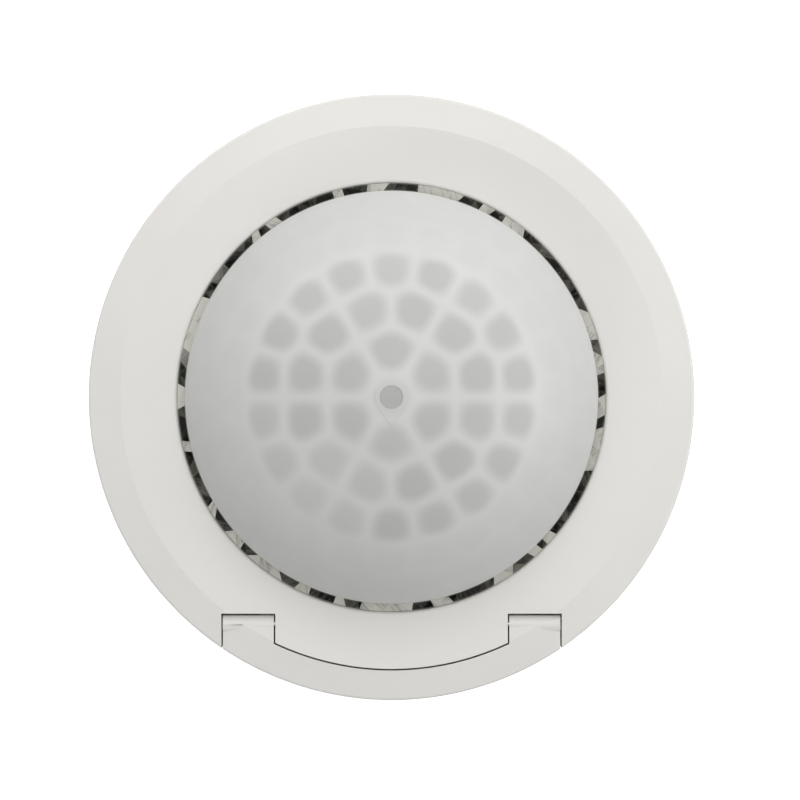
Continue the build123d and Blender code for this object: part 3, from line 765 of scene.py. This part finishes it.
@dataclass
class LensDome:
    """The milky dome: a half sphere with lens cells moulded inside, a skirt and a flange."""

    finishes: Finishes
    radius: float = 36.75 * MM
    wall: float = 1.0 * MM
    lens_depth: float = 0.35 * MM
    skirt_round: float = 0.3 * MM
    flange_round: float = 0.2 * MM
    hole: float = 2.0 * MM
    flange: float = 0.8 * MM
    rim_round: float = 0.03 * MM
    web_half: float = -0.35 * MM
    web_fade: float = 2.5 * MM
    corner_round: float = 0.75 * MM
    segments: int = 288
    fine_end: float = 9.0
    fine_step: float = 0.3
    coarse_step: float = 0.9
    band_start: float = 44.6
    band_end: float = 47.6
    drop_radius: float = 2.9 * MM
    drop_tip: float = 5.3 * MM
    drop_line: float = 0.16 * MM
    seed: int = 4
    rings: tuple[CellRing, ...] = (
        CellRing(12.2, 6, 90.0, 1.0),
        CellRing(25.3, 12, 75.0, 1.0),
        CellRing(37.6, 18, 90.0, 0.95),
        CellRing(51.2, 24, 90.0, 0.10),
        CellRing(64.4, 30, 90.0, 0.07),
    )
    tip_strength: float = 0.5
    # Painted light: cells are drawn fainter towards faint_way, the lower left, away from the lights, where
    # they show less in shade.
    faint_way: float = 232.0
    faint_width: float = 34.0
    faint_share: float = 0.55
    faint_most: float = 0.8
    faint_angle: float = 38.0
    uneven: float = 0.15
    neighbours: int = 5
    drop_left: float = 0.32
    drop_right: float = 0.16

    def __post_init__(self) -> None:
        """Reads the dome's place from the frame."""
        low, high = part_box("lens_dome")
        self.flange_radius = high[0]
        self.foot = low[2]
        self.centre = high[2] - math.sqrt(self.radius**2 - self.hole**2)

    def outline(self) -> tuple[np.ndarray, int]:
        """Works out the closed outline of the shell.

        Returns:
            The outline, and the index where the inner sphere starts.
        """
        first = math.degrees(math.asin(self.hole / self.radius))
        fine = np.arange(first, self.fine_end, self.fine_step)
        coarse = np.linspace(self.fine_end, 90.0, round((90.0 - self.fine_end) / self.coarse_step) + 1)
        angles = np.radians(np.concatenate([fine, coarse]))
        outer = np.stack([self.radius * np.sin(angles), self.centre + self.radius * np.cos(angles)], axis=1)
        outer[0, 0] += self.rim_round
        inside = self.radius - self.wall
        back = angles[::-1]
        inner = np.stack([inside * np.sin(back), self.centre + inside * np.cos(back)], axis=1)
        inner[-1, 0] = self.hole
        shelf = self.foot + self.flange
        foot = np.array(
            [
                (self.radius, shelf + self.skirt_round),
                (self.radius + self.skirt_round, shelf),
                (self.flange_radius - self.flange_round, shelf),
                (self.flange_radius, shelf - self.flange_round),
                (self.flange_radius, self.foot),
                (inside, self.foot),
            ]
        )
        hole_wall = np.array([(self.hole, outer[0, 1] - self.rim_round)])
        return np.concatenate([outer, foot, inner, hole_wall]), len(outer) + len(foot)

    def sites(self) -> tuple[np.ndarray, np.ndarray]:
        """Places the middle of every lens cell, with one fainter site at the dome's tip.

        Returns:
            Unit vectors of the sites, and each cell's strength.
        """
        chance = np.random.default_rng(self.seed)
        places, strengths = [(0.0, 0.0, 1.0)], [self.tip_strength]
        for ring in self.rings:
            tilt = math.radians(ring.angle)
            across, up = math.sin(tilt), math.cos(tilt)
            for index in range(ring.count):
                turn = math.radians(ring.start + 360.0 * index / ring.count)
                places.append((across * math.cos(turn), across * math.sin(turn), up))
                # Painted light: the cell fades towards faint_way, the side away from the lights.
                away = (math.degrees(turn) - self.faint_way + 180.0) % 360.0 - 180.0
                faint = self.faint_share * math.exp(-((away / self.faint_width) ** 2))
                faint *= across / math.sin(math.radians(self.faint_angle))
                even = ring.strength * (1.0 - min(self.faint_most, faint))
                strengths.append(even * (1.0 + chance.uniform(-self.uneven, self.uneven)))
        return np.array(places), np.array(strengths)

    def cell_mask(self, directions: np.ndarray) -> np.ndarray:
        """Works out how deep inside a lens cell each direction lies.

        Args:
            directions: Unit vectors from the sphere's centre.

        Returns:
            From 0 on the web to 1 in the middle of a full-strength cell.
        """
        sites, strengths = self.sites()
        closeness = directions @ sites.T
        order = np.argsort(-closeness, axis=1)[:, : self.neighbours]
        nearest = order[:, 0]
        best = np.take_along_axis(closeness, order[:, :1], axis=1)[:, 0]
        total = np.zeros(len(directions))
        for rank in range(1, order.shape[1]):
            other = order[:, rank]
            span = np.linalg.norm(sites[nearest] - sites[other], axis=1)
            reach = self.radius * (best - closeness[np.arange(len(directions)), other]) / span
            total += np.exp(-reach / self.corner_round)
        depth = -self.corner_round * np.log(total)
        return ease(depth, self.web_half, self.web_half + self.web_fade) * strengths[nearest]

    def drop_mask(self, points: np.ndarray) -> np.ndarray:
        """Draws the faint drop-shaped edge of the light pipe under the tip.

        Args:
            points: Vertex positions.

        Returns:
            From 0 to 1, stronger on the drop's left side.
        """
        x, y = points[:, 0], points[:, 1]
        lean = math.asin(self.drop_radius / self.drop_tip)
        straight = np.abs(x) * math.cos(lean) - y * math.sin(lean) - self.drop_radius
        below = -y > self.drop_radius * math.sin(lean)
        distance = np.where(below, straight, np.hypot(x, y) - self.drop_radius)
        line = np.exp(-((distance / self.drop_line) ** 2)) * (-y < self.drop_tip + self.drop_line)
        side = np.where(x < 0.0, self.drop_left, self.drop_right) * ease(y, self.drop_radius, 0.0)
        return line * side * (points[:, 2] > self.centre)

    def build(self) -> None:
        """Builds the dome."""
        outline, inner_start = self.outline()
        mesh = lathe("dome_shell", outline, self.segments)
        points = np.empty(len(mesh.vertices) * 3)
        mesh.vertices.foreach_get("co", points)
        points = points.reshape(-1, 3)
        middle = np.array([0.0, 0.0, self.centre])
        spokes = points - middle
        directions = spokes / np.linalg.norm(spokes, axis=1)[:, None]
        on_sphere = directions[:, 2] > -1e-6
        cells = self.cell_mask(directions) * on_sphere
        position = np.arange(len(points)) % len(outline)
        inner = (position >= inner_start) & (position < len(outline) - 2) & on_sphere
        points[inner] += directions[inner] * (cells[inner] * self.lens_depth)[:, None]
        mesh.vertices.foreach_set("co", points.ravel())
        tilt = np.degrees(np.arccos(np.clip(directions[:, 2], -1.0, 1.0)))
        store(mesh, "cell", cells)
        store(mesh, "band", ease(tilt, self.band_start, self.band_end))
        store(mesh, "mark", self.drop_mask(points))
        smooth_faces(mesh)
        mesh.materials.append(self.finishes.milky)
        settle(make_object("dome_shell", mesh), Slot.LENS, "lens_dome")


# -------------------------------------------------------------- geometry growers


class Grower:
    """A Geometry Nodes tree with named inputs, and the plain mesh that it grows."""

    def __init__(self, name: str) -> None:
        """Starts the tree.

        Args:
            name: The tree's name.
        """
        self.tree = bpy.data.node_groups.new(name, "GeometryNodeTree")
        self.graph = Graph(self.tree)
        self.tree.interface.new_socket("Geometry", in_out="OUTPUT", socket_type="NodeSocketGeometry")
        self.source = self.graph.add("NodeGroupInput")
        self.values: dict[str, object] = {}

    def input(self, label: str, kind: str, value: object) -> bpy.types.NodeSocket:
        """Adds a named input.

        Args:
            label: Its name.
            kind: Its socket type, such as Float.
            value: What the modifier sets it to.

        Returns:
            The socket that gives it inside the tree.
        """
        item = self.tree.interface.new_socket(label, in_out="INPUT", socket_type=f"NodeSocket{kind}")
        self.values[item.identifier] = value
        return self.source.outputs[label]

    def inputs(self, kind: str, **values: object) -> list[bpy.types.NodeSocket]:
        """Adds several named inputs of one type."""
        return [self.input(label.replace("_", " "), kind, value) for label, value in values.items()]

    def pick(self, index: bpy.types.NodeSocket, choices: list[object]) -> bpy.types.NodeSocket:
        """Picks one of several values by an index.

        Args:
            index: The index.
            choices: The values or sockets, in order.

        Returns:
            The picked value.
        """
        node = self.graph.add("GeometryNodeIndexSwitch", {"data_type": "FLOAT"})
        while len(node.index_switch_items) < len(choices):
            node.index_switch_items.new()
        self.graph.feed(node.inputs["Index"], index)
        for number, choice in enumerate(choices):
            self.graph.feed(node.inputs[number + 1], choice)
        return node.outputs[0]

    def chance(self, key: object, seed: object) -> bpy.types.NodeSocket:
        """Gives a seeded random number from 0 to 1."""
        node = self.graph.add("FunctionNodeRandomValue", {"data_type": "FLOAT"}, {"ID": key, "Seed": seed})
        return self.graph.enabled(node.outputs, "Value")

    def mark(self, geometry: object, name: str, value: object) -> bpy.types.NodeSocket:
        """Stores a number on every face.

        Args:
            geometry: The mesh.
            name: The attribute's name.
            value: The number.

        Returns:
            The mesh with the attribute.
        """
        settings = {"data_type": "FLOAT", "domain": "FACE"}
        inputs = {"Geometry": geometry, "Name": name, "Value": value}
        return self.graph.add("GeometryNodeStoreNamedAttribute", settings, inputs).outputs[0]

    def repeat(self, points: object, piece: object, **inputs: object) -> bpy.types.NodeSocket:
        """Puts a copy of a piece on every point."""
        fed = {"Points": points, "Instance": piece, **inputs}
        return self.graph.add("GeometryNodeInstanceOnPoints", None, fed).outputs[0]

    def end(self, geometry: bpy.types.NodeSocket, finish: bpy.types.Material) -> None:
        """Ends the tree in Realize Instances and Set Material.

        Args:
            geometry: What the tree has made.
            finish: The material that the modifier gives it.
        """
        real = self.graph.add("GeometryNodeRealizeInstances", None, {"Geometry": geometry})
        fed = {"Geometry": real.outputs[0], "Material": self.input("Finish", "Material", finish)}
        dressed = self.graph.add("GeometryNodeSetMaterial", None, fed)
        sink = self.graph.add("NodeGroupOutput")
        self.graph.feed(sink.inputs["Geometry"], dressed.outputs[0])

    def grow(self, name: str, changes: dict[str, object] | None = None) -> bpy.types.Object:
        """Runs the tree and keeps its result as a plain mesh.

        Args:
            name: The piece's name.
            changes: Input values for this piece only, by label.

        Returns:
            The piece, with no modifier left on it.
        """
        holder = make_object(name + "_tree", bpy.data.meshes.new(name + "_tree"))
        modifier = holder.modifiers.new("grow", "NODES")
        modifier.node_group = self.tree
        items = self.tree.interface.items_tree
        labels = {item.name: item.identifier for item in items if item.in_out == "INPUT"}
        values = dict(self.values)
        values.update({labels[label]: value for label, value in (changes or {}).items()})
        for identifier, value in values.items():
            modifier[identifier] = value
        graph = bpy.context.evaluated_depsgraph_get()
        mesh = bpy.data.meshes.new_from_object(holder.evaluated_get(graph), depsgraph=graph)
        mesh.name = name
        holder.modifiers.remove(modifier)
        bpy.data.objects.remove(holder)
        return make_object(name, mesh)


@dataclass
class FacetRing:
    """The clear ring round the dome, whose lip is cut in slanted facets of uneven width."""

    finishes: Finishes
    lip_outside: float = 38.17 * MM
    lip_inside: float = 36.77 * MM
    lip_height: float = 1.5 * MM
    facets: int = 118
    slant: float = 0.47
    sink: float = 0.45 * MM
    paired: float = 0.55
    key_step: float = 16.0
    pair_step: float = 500.0
    seed: int = 11

    def __post_init__(self) -> None:
        """Reads the ring's place from the frame."""
        low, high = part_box("light_ring")
        self.low, self.high = low[2], high[2]
        self.flange_radius = high[0]

    def tree(self) -> Grower:
        """Builds the tree: a grid wrapped round the ring's cross-section and round the axis.

        Returns:
            The grower.
        """
        grower = Grower("facet_ring")
        graph = grower.graph
        inside, outside, flange, low, high, shelf, slant, sink, paired = grower.inputs(
            "Float",
            Lip_Inside=self.lip_inside,
            Lip_Outside=self.lip_outside,
            Flange_Radius=self.flange_radius,
            Low=self.low,
            High=self.high,
            Shelf=self.high - self.lip_height,
            Slant=self.slant,
            Sink=self.sink,
            Paired=self.paired,
        )
        facets, seed = grower.inputs("Int", Facets=self.facets, Seed=self.seed)

        rows = 7
        wrap = {"Vertices X": graph.math("ADD", facets, 1.0), "Vertices Y": rows}
        grid = graph.add("GeometryNodeMeshGrid", None, wrap)
        index = graph.add("GeometryNodeInputIndex").outputs[0]
        column = graph.math("FLOOR", graph.math("DIVIDE", graph.math("ADD", index, 0.5), float(rows)))
        row = graph.math("MODULO", index, float(rows))
        lap_column, lap_row = graph.math("MODULO", column, facets), graph.math("MODULO", row, rows - 1.0)
        key = graph.math("MULTIPLY_ADD", lap_column, self.key_step, lap_row)
        loose = grower.pick(row, [0.0, 1.0, 1.0, 0.0, 0.0, 0.0, 0.0])
        first, second = (grower.chance(key, graph.math("ADD", seed, shift)) for shift in (0.0, 1.0))
        radius = grower.pick(row, [inside, inside, outside, outside, flange, flange, inside])
        top = graph.math("SUBTRACT", high, graph.math("MULTIPLY", second, sink))
        height = grower.pick(row, [low, top, top, shelf, shelf, low, low])
        off = graph.math("MULTIPLY", graph.math("SUBTRACT", first, 0.5), loose)
        swing = graph.math("MULTIPLY", off, graph.math("MULTIPLY", slant, 2.0))
        share = graph.math("DIVIDE", graph.math("ADD", column, swing), facets)
        turn = graph.math("MULTIPLY", share, FULL_TURN)
        x, y = (graph.math("MULTIPLY", radius, graph.math(way, turn)) for way in ("COSINE", "SINE"))
        moved = {"Geometry": grid.outputs["Mesh"], "Position": graph.vector(x, y, height)}
        wrapped = graph.add("GeometryNodeSetPosition", None, moved)
        block = graph.math("FLOOR", graph.math("DIVIDE", graph.math("ADD", index, 0.5), rows - 1.0))
        pair = graph.math("ADD", graph.math("FLOOR", graph.math("DIVIDE", block, 2.0)), self.pair_step)
        kept = graph.math("LESS_THAN", grower.chance(block, graph.math("ADD", seed, 3.0)), paired)
        alone, shared = (grower.chance(key, graph.math("ADD", seed, 5.0)) for key in (block, pair))
        tone = graph.add("ShaderNodeMix", {"data_type": "FLOAT"}, {"Factor": kept, "A": alone, "B": shared})
        toned = grower.mark(wrapped.outputs[0], "tone", tone.outputs[0])
        split = graph.add("GeometryNodeTriangulate", None, {"Mesh": toned})
        own = grower.chance(index, graph.math("ADD", seed, 9.0))
        cut = grower.mark(split.outputs[0], "facet", own)
        merged = graph.add("GeometryNodeMergeByDistance", None, {"Geometry": cut, "Distance": MERGE})
        shading = {"Geometry": merged.outputs[0], "Shade Smooth": False}
        flat = graph.add("GeometryNodeSetShadeSmooth", None, shading)
        grower.end(flat.outputs[0], self.finishes.facets)
        return grower

    def build(self) -> None:
        """Builds the ring."""
        settle(self.tree().grow("facet_ring"), Slot.CLEAR, "light_ring")


@dataclass
class LightPipe:
    """The light pipe: a frosted tip in the dome's hole, and a clear rod that bends to the sensor."""

    finishes: Finishes
    tip_radius: float = 1.99 * MM
    tip_depth: float = 2.6 * MM
    tip_round: float = 0.03 * MM
    crown_steps: int = 8
    edge_steps: int = 5
    rod_radius: float = 1.2 * MM
    foot_gap: float = 0.1 * MM
    dome_radius: float = 36.75 * MM
    segments: int = 96

    def __post_init__(self) -> None:
        """Reads the pipe's place from the frame."""
        low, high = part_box("light_pipe")
        self.foot, self.top = low[2], high[2]
        self.offset = low[1] + self.rod_radius

    def tip(self) -> bpy.types.Object:
        """Builds the frosted tip, crowned like the dome round it.

        Returns:
            The tip.
        """
        crown = np.linspace(0.0, self.tip_radius - self.tip_round, self.crown_steps)[1:]
        fall = crown**2 / (2.0 * self.dome_radius)
        edge = np.linspace(0.0, math.pi / 2.0, self.edge_steps)[1:]
        edge_radius = self.tip_radius - self.tip_round * (1.0 - np.sin(edge))
        edge_height = self.top - fall[-1] - self.tip_round * (1.0 - np.cos(edge))
        foot = self.top - self.tip_depth
        outline = np.concatenate(
            [
                np.stack([crown, self.top - fall], axis=1),
                np.stack([edge_radius, edge_height], axis=1),
                np.array([(self.tip_radius, foot), (crown[0], foot)]),
            ]
        )
        mesh = lathe("pipe_tip", outline, self.segments, capped=True)
        smooth_faces(mesh, 30.0)
        mesh.materials.append(self.finishes.frosted)
        return make_object("pipe_tip", mesh)

    def rod(self) -> bpy.types.Object:
        """Builds the bent rod.

        Returns:
            The rod.
        """
        curve = bpy.data.curves.new("pipe_rod", "CURVE")
        curve.dimensions = "3D"
        curve.bevel_depth = self.rod_radius
        curve.bevel_resolution = 8
        curve.use_fill_caps = True
        curve.resolution_u = 16
        path = curve.splines.new("NURBS")
        start = self.top - self.tip_depth
        drop = start - self.foot
        straight = [(0.0, start - share * drop) for share in (0.0, 0.12, 0.24)]
        bent = [(self.offset, start - share * drop) for share in (0.66, 0.80)]
        stops = [*straight, *bent, (self.offset, self.foot + self.foot_gap)]
        path.points.add(len(stops) - 1)
        for point, (y, z) in zip(path.points, stops):
            point.co = (0.0, y, z, 1.0)
        path.order_u = 3
        path.use_endpoint_u = True
        holder = make_object("pipe_rod_curve", curve)
        graph = bpy.context.evaluated_depsgraph_get()
        mesh = bpy.data.meshes.new_from_object(holder.evaluated_get(graph), depsgraph=graph)
        bpy.data.objects.remove(holder)
        mesh.materials.clear()
        mesh.materials.append(self.finishes.clear)
        smooth_faces(mesh)
        return make_object("pipe_rod", mesh)

    def build(self) -> None:
        """Builds the tip and the rod."""
        for piece in (self.tip(), self.rod()):
            settle(piece, Slot.CLEAR, "light_pipe")


# ---------------------------------------------------------------- control panel


@dataclass
class DialScales:
    """The raised marks round each setting dial: a fan of ticks, longer at both ends and the middle."""

    finishes: Finishes
    ticks: int = 11
    sweep: float = 135.0
    radius: float = 5.1 * MM
    length: float = 0.9 * MM
    width: float = 0.22 * MM
    height: float = 0.08 * MM
    longer: float = 0.5
    dials: tuple[str, ...] = ("time_dial", "light_dial", "range_dial")

    def tree(self) -> Grower:
        """Builds the tree: ticks as bars on points round an arc, standing on the panel's face.

        Returns:
            The grower.
        """
        grower = Grower("dial_scale")
        graph = grower.graph
        centre_x, face_y, centre_z, sweep, radius, length, width, height = grower.inputs(
            "Float",
            Centre_X=0.0,
            Face_Y=0.0,
            Centre_Z=0.0,
            Sweep=math.radians(self.sweep),
            Radius=self.radius,
            Length=self.length,
            Width=self.width,
            Height=self.height,
        )
        count = grower.input("Ticks", "Int", self.ticks)
        points = graph.add("GeometryNodeMeshLine", None, {"Count": count})
        index = graph.add("GeometryNodeInputIndex").outputs[0]
        share = graph.math("DIVIDE", index, graph.math("SUBTRACT", count, 1.0))
        turn = graph.math("MULTIPLY", graph.math("MULTIPLY_ADD", share, 2.0, -1.0), sweep)
        x = graph.math("MULTIPLY_ADD", graph.math("SINE", turn), radius, centre_x)
        z = graph.math("MULTIPLY_ADD", graph.math("COSINE", turn), radius, centre_z)
        moved = {"Geometry": points.outputs["Mesh"], "Position": graph.vector(x, face_y, z)}
        fan = graph.add("GeometryNodeSetPosition", None, moved)
        bar = graph.add("GeometryNodeMeshCube", None, {"Size": graph.vector(width, height, length)})
        spin = graph.add("FunctionNodeEulerToRotation", None, {"Euler": graph.vector(y=turn)})
        off_middle = graph.math("ABSOLUTE", graph.math("SUBTRACT", share, 0.5))
        off_quarter = graph.math("ABSOLUTE", graph.math("SUBTRACT", off_middle, 0.25))
        marked = graph.math("GREATER_THAN", off_quarter, 0.24)
        scale = graph.vector(1.0, 1.0, graph.math("MULTIPLY_ADD", marked, self.longer, 1.0))
        bars = grower.repeat(fan.outputs[0], bar.outputs["Mesh"], Rotation=spin.outputs[0], Scale=scale)
        grower.end(bars, self.finishes.dial)
        return grower

    def build(self) -> None:
        """Builds one scale for each dial."""
        grower = self.tree()
        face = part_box("dial_panel")[0][1]
        for dial in self.dials:
            middle = middle_of(dial)
            changes = {"Centre X": middle.x, "Centre Z": middle.z, "Face Y": face}
            settle(grower.grow(dial + "_scale", changes), Slot.DIAL)


# ------------------------------------------------------------------- electronics


@dataclass
class Winding:
    """The transformer's enamelled winding, wound round its core in side-by-side turns."""

    finishes: Finishes
    turns: int = 14
    wire: float = 0.2 * MM
    width_share: float = 0.72
    pitch_share: float = 2.05
    corner: float = 1.2 * MM
    start: float = 3.4 * MM

    def tree(self) -> Grower:
        """Builds the tree: a rounded rectangle of wire, repeated up the core.

        Returns:
            The grower.
        """
        low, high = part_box("transformer")
        grower = Grower("winding")
        graph = grower.graph
        width, depth, wire, pitch = grower.inputs(
            "Float",
            Width=(high[0] - low[0]) * self.width_share,
            Depth=(high[1] - low[1]) - 2.0 * self.wire,
            Wire_Radius=self.wire,
            Pitch=self.pitch_share * self.wire,
        )
        turns = grower.input("Turns", "Int", self.turns)
        middle = middle_of("transformer")
        foot = (middle.x, middle.y, low[2] + self.start)
        loop = graph.add("GeometryNodeCurvePrimitiveQuadrilateral", None, {"Width": width, "Height": depth})
        bend = {"Curve": loop.outputs[0], "Radius": self.corner, "Count": 5}
        rounded = graph.add("GeometryNodeFilletCurve", {"mode": "POLY"}, bend)
        section = graph.add("GeometryNodeCurvePrimitiveCircle", None, {"Resolution": 8, "Radius": wire})
        sweep = {"Curve": rounded.outputs[0], "Profile Curve": section.outputs["Curve"]}
        ring = graph.add("GeometryNodeCurveToMesh", None, sweep)
        rise = {"Count": turns, "Start Location": foot, "Offset": graph.vector(z=pitch)}
        stack = graph.add("GeometryNodeMeshLine", None, rise)
        grower.end(grower.repeat(stack.outputs["Mesh"], ring.outputs[0]), self.finishes.copper)
        return grower

    def build(self) -> None:
        """Builds the winding."""
        settle(self.tree().grow("transformer_winding"), Slot.BRASS)


@dataclass
class SolderJoints:
    """Rows of solder joints under the main board, where the parts' legs come through."""

    finishes: Finishes
    joint: float = 0.75 * MM
    pitch: float = 2.54 * MM
    rows: int = 5
    columns: int = 9
    middle_y: float = -14.0 * MM
    left_out: float = 0.35
    flatness: float = 0.7
    seed: int = 7

    def tree(self) -> Grower:
        """Builds the tree: flattened domes on a grid, some left out, hanging from the board.

        Returns:
            The grower.
        """
        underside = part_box("main_board")[0][2]
        grower = Grower("solder_joints")
        graph = grower.graph
        size, pitch = grower.inputs("Float", Joint_Radius=self.joint, Pitch=self.pitch)
        rows, columns, seed = grower.inputs("Int", Rows=self.rows, Columns=self.columns, Seed=self.seed)
        gaps = [graph.math("SUBTRACT", number, 1.0) for number in (columns, rows)]
        span_x, span_y = (graph.math("MULTIPLY", pitch, gap) for gap in gaps)
        spread = {"Size X": span_x, "Size Y": span_y, "Vertices X": columns, "Vertices Y": rows}
        grid = graph.add("GeometryNodeMeshGrid", None, spread)
        place = {"Geometry": grid.outputs["Mesh"], "Translation": (0.0, self.middle_y, underside)}
        moved = graph.add("GeometryNodeTransform", None, place)
        index = graph.add("GeometryNodeInputIndex").outputs[0]
        chosen = graph.math("GREATER_THAN", grower.chance(index, seed), self.left_out)
        drop = graph.add("GeometryNodeMeshIcoSphere", None, {"Radius": size, "Subdivisions": 2})
        flat = graph.vector(1.0, 1.0, self.flatness)
        joints = grower.repeat(moved.outputs[0], drop.outputs["Mesh"], Selection=chosen, Scale=flat)
        grower.end(joints, self.finishes.steel)
        return grower

    def build(self) -> None:
        """Builds the joints."""
        settle(self.tree().grow("solder_joints"), Slot.STEEL)


@dataclass
class ChipLegs:
    """The gull-wing legs on the microcontroller's four sides."""

    finishes: Finishes
    per_side: int = 8
    pitch: float = 0.8 * MM
    reach: float = 1.0 * MM
    thickness: float = 0.25 * MM
    width_share: float = 0.45

    def tree(self) -> Grower:
        """Builds the tree: one row of legs, turned to each of the four sides.

        Returns:
            The grower.
        """
        low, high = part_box("microcontroller")
        side = (high[0] - low[0]) / 2.0
        middle = middle_of("microcontroller")
        foot = (middle.x, middle.y, low[2] + self.thickness / 2.0)
        grower = Grower("chip_legs")
        graph = grower.graph
        sizes = {"Pitch": self.pitch, "Reach": self.reach, "Thickness": self.thickness}
        pitch, reach, thickness = grower.inputs("Float", **sizes)
        count = grower.input("Legs", "Int", self.per_side)
        span = graph.math("MULTIPLY", graph.math("SUBTRACT", count, 1.0), pitch)
        start = graph.vector(graph.math("MULTIPLY", span, -0.5), graph.math("MULTIPLY_ADD", reach, 0.5, side))
        line = {"Count": count, "Start Location": start, "Offset": graph.vector(x=pitch)}
        row = graph.add("GeometryNodeMeshLine", None, line)
        width = graph.math("MULTIPLY", pitch, self.width_share)
        leg = graph.add("GeometryNodeMeshCube", None, {"Size": graph.vector(width, reach, thickness)})
        legs = grower.repeat(row.outputs["Mesh"], leg.outputs["Mesh"])
        sides = graph.add("GeometryNodeJoinGeometry")
        for quarter in range(4):
            turn = (0.0, 0.0, quarter * FULL_TURN / 4.0)
            placed = {"Geometry": legs, "Rotation": turn, "Translation": foot}
            turned = graph.add("GeometryNodeTransform", None, placed)
            graph.feed(sides.inputs[0], turned.outputs[0])
        grower.end(sides.outputs[0], self.finishes.steel)
        return grower

    def build(self) -> None:
        """Builds the legs."""
        settle(self.tree().grow("chip_legs"), Slot.STEEL)


# -------------------------------------------------------------------- frame nodes


@dataclass
class FrameNodes:
    """Dresses the frame's own nodes, whose shape is right as it is."""

    finishes: Finishes

    def build(self) -> None:
        """Puts each node's material on it."""
        made = self.finishes
        groups = (
            (made.cover, "cover_ring access_flap"),
            (made.housing, "base_plate housing"),
            (made.rubber, "cable_grommet"),
            (made.terminal, "terminal_block"),
            (made.brass, "terminal_clamps supply_pins board_spacers"),
            (made.steel, "terminal_screws housing_screws board_screws sensor_screws panel_screws hinge_pins"),
            (made.board, "main_board sensor_board control_board"),
            (made.black, "relay transformer microcontroller board_connector detector_collar"),
            (made.black, "dial_trimmers button_switch"),
            (made.sleeve, "capacitors"),
            (made.resin, "film_capacitor"),
            (made.can, "infrared_detector"),
            (made.filter, "detector_window"),
            (made.clear, "light_sensor status_led"),
            (made.panel, "dial_panel"),
            (made.dial, "time_dial light_dial range_dial"),
            (made.button, "test_button"),
        )
        for material, names in groups:
            for name in names.split():
                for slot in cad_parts[name].material_slots:
                    slot.material = material
            LOG.info("%s: on %s", material.name, names)


# ------------------------------------------------------------------------ studio


@dataclass(frozen=True)
class SoftBox:
    """One soft light: the way it lies from the object, its height, its size and its power."""

    name: str
    around: float
    above: float
    width: float
    height: float
    power: float
    distance: float = 0.9


@dataclass
class Studio:
    """A pale floor, soft lights and a camera straight above the object."""

    finishes: Finishes
    sky: float = 0.437
    backdrop: float = 0.95
    floor_half: float = 2.0
    floor_gap: float = 0.05 * MM
    lens: float = 400.0
    sensor: float = 36.0
    frame_width: float = 142.4 * MM
    aim: tuple[float, float] = (1.5 * MM, -0.5 * MM)
    lights: tuple[SoftBox, ...] = (
        SoftBox("right_strip", -2.0, 9.5, 0.85, 0.24, 3.10),
        SoftBox("back_strip", 59.0, 9.5, 0.85, 0.24, 2.25),
        SoftBox("left_strip", 120.0, 9.5, 0.85, 0.24, 2.95),
        SoftBox("front_fill", 240.0, 42.0, 0.5, 0.4, 1.12),
        SoftBox("back_fill", 90.0, 66.0, 0.5, 0.4, 1.40),
        SoftBox("overhead", 0.0, 89.9, 0.5, 0.5, 1.82),
    )

    def floor(self) -> None:
        """Lays the floor just under the object."""
        half, z = self.floor_half, cad_low.z - self.floor_gap
        corners = [(-half, -half, z), (half, -half, z), (half, half, z), (-half, half, z)]
        mesh = bpy.data.meshes.new("floor")
        mesh.from_pydata(corners, [], [(0, 1, 2, 3)])
        mesh.materials.append(self.finishes.floor)
        make_object("floor", mesh)

    def light(self, box: SoftBox) -> None:
        """Hangs one soft light, facing the object.

        Args:
            box: The light.
        """
        lamp = bpy.data.lights.new(box.name, "AREA")
        lamp.shape = "RECTANGLE"
        lamp.size, lamp.size_y = box.width, box.height
        lamp.energy = box.power
        around, above = math.radians(box.around), math.radians(box.above)
        level = math.cos(above)
        way = Vector((math.cos(around) * level, math.sin(around) * level, math.sin(above)))
        holder = make_object(box.name, lamp)
        holder.location = way * box.distance
        holder.rotation_mode = "QUATERNION"
        holder.rotation_quaternion = way.to_track_quat("Z", "Y")

    def camera(self) -> None:
        """Sets the camera straight above, its top towards +Y."""
        data = bpy.data.cameras.new("camera")
        data.lens = self.lens
        data.sensor_width = self.sensor
        holder = make_object("camera", data)
        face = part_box("cover_ring")[1][2]
        holder.location = (self.aim[0], self.aim[1], face + self.frame_width * self.lens / self.sensor)
        bpy.context.scene.camera = holder

    def build(self) -> None:
        """Builds the studio."""
        world = bpy.data.worlds.new("studio")
        world.use_nodes = True
        graph = Graph(world.node_tree)
        around = world.node_tree.nodes["Background"]
        around.inputs["Color"].default_value = WHITE
        camera = graph.add("ShaderNodeLightPath").outputs["Is Camera Ray"]
        graph.feed(around.inputs["Strength"], graph.between(camera, self.sky, self.backdrop))
        bpy.context.scene.world = world
        bpy.context.scene.view_settings.view_transform = "Standard"
        self.floor()
        for box in self.lights:
            self.light(box)
        self.camera()
        LOG.info("studio: %d lights", len(self.lights))


def main() -> None:
    """Builds every piece, then the studio."""
    logging.basicConfig(level=logging.INFO, format="%(message)s")
    finishes = Finishes()
    pieces = (FrameNodes, LensDome, FacetRing, LightPipe, DialScales, Winding, SolderJoints, ChipLegs)
    for part in (*pieces, Studio):
        part(finishes).build()


if __name__ == "__main__":
    main()
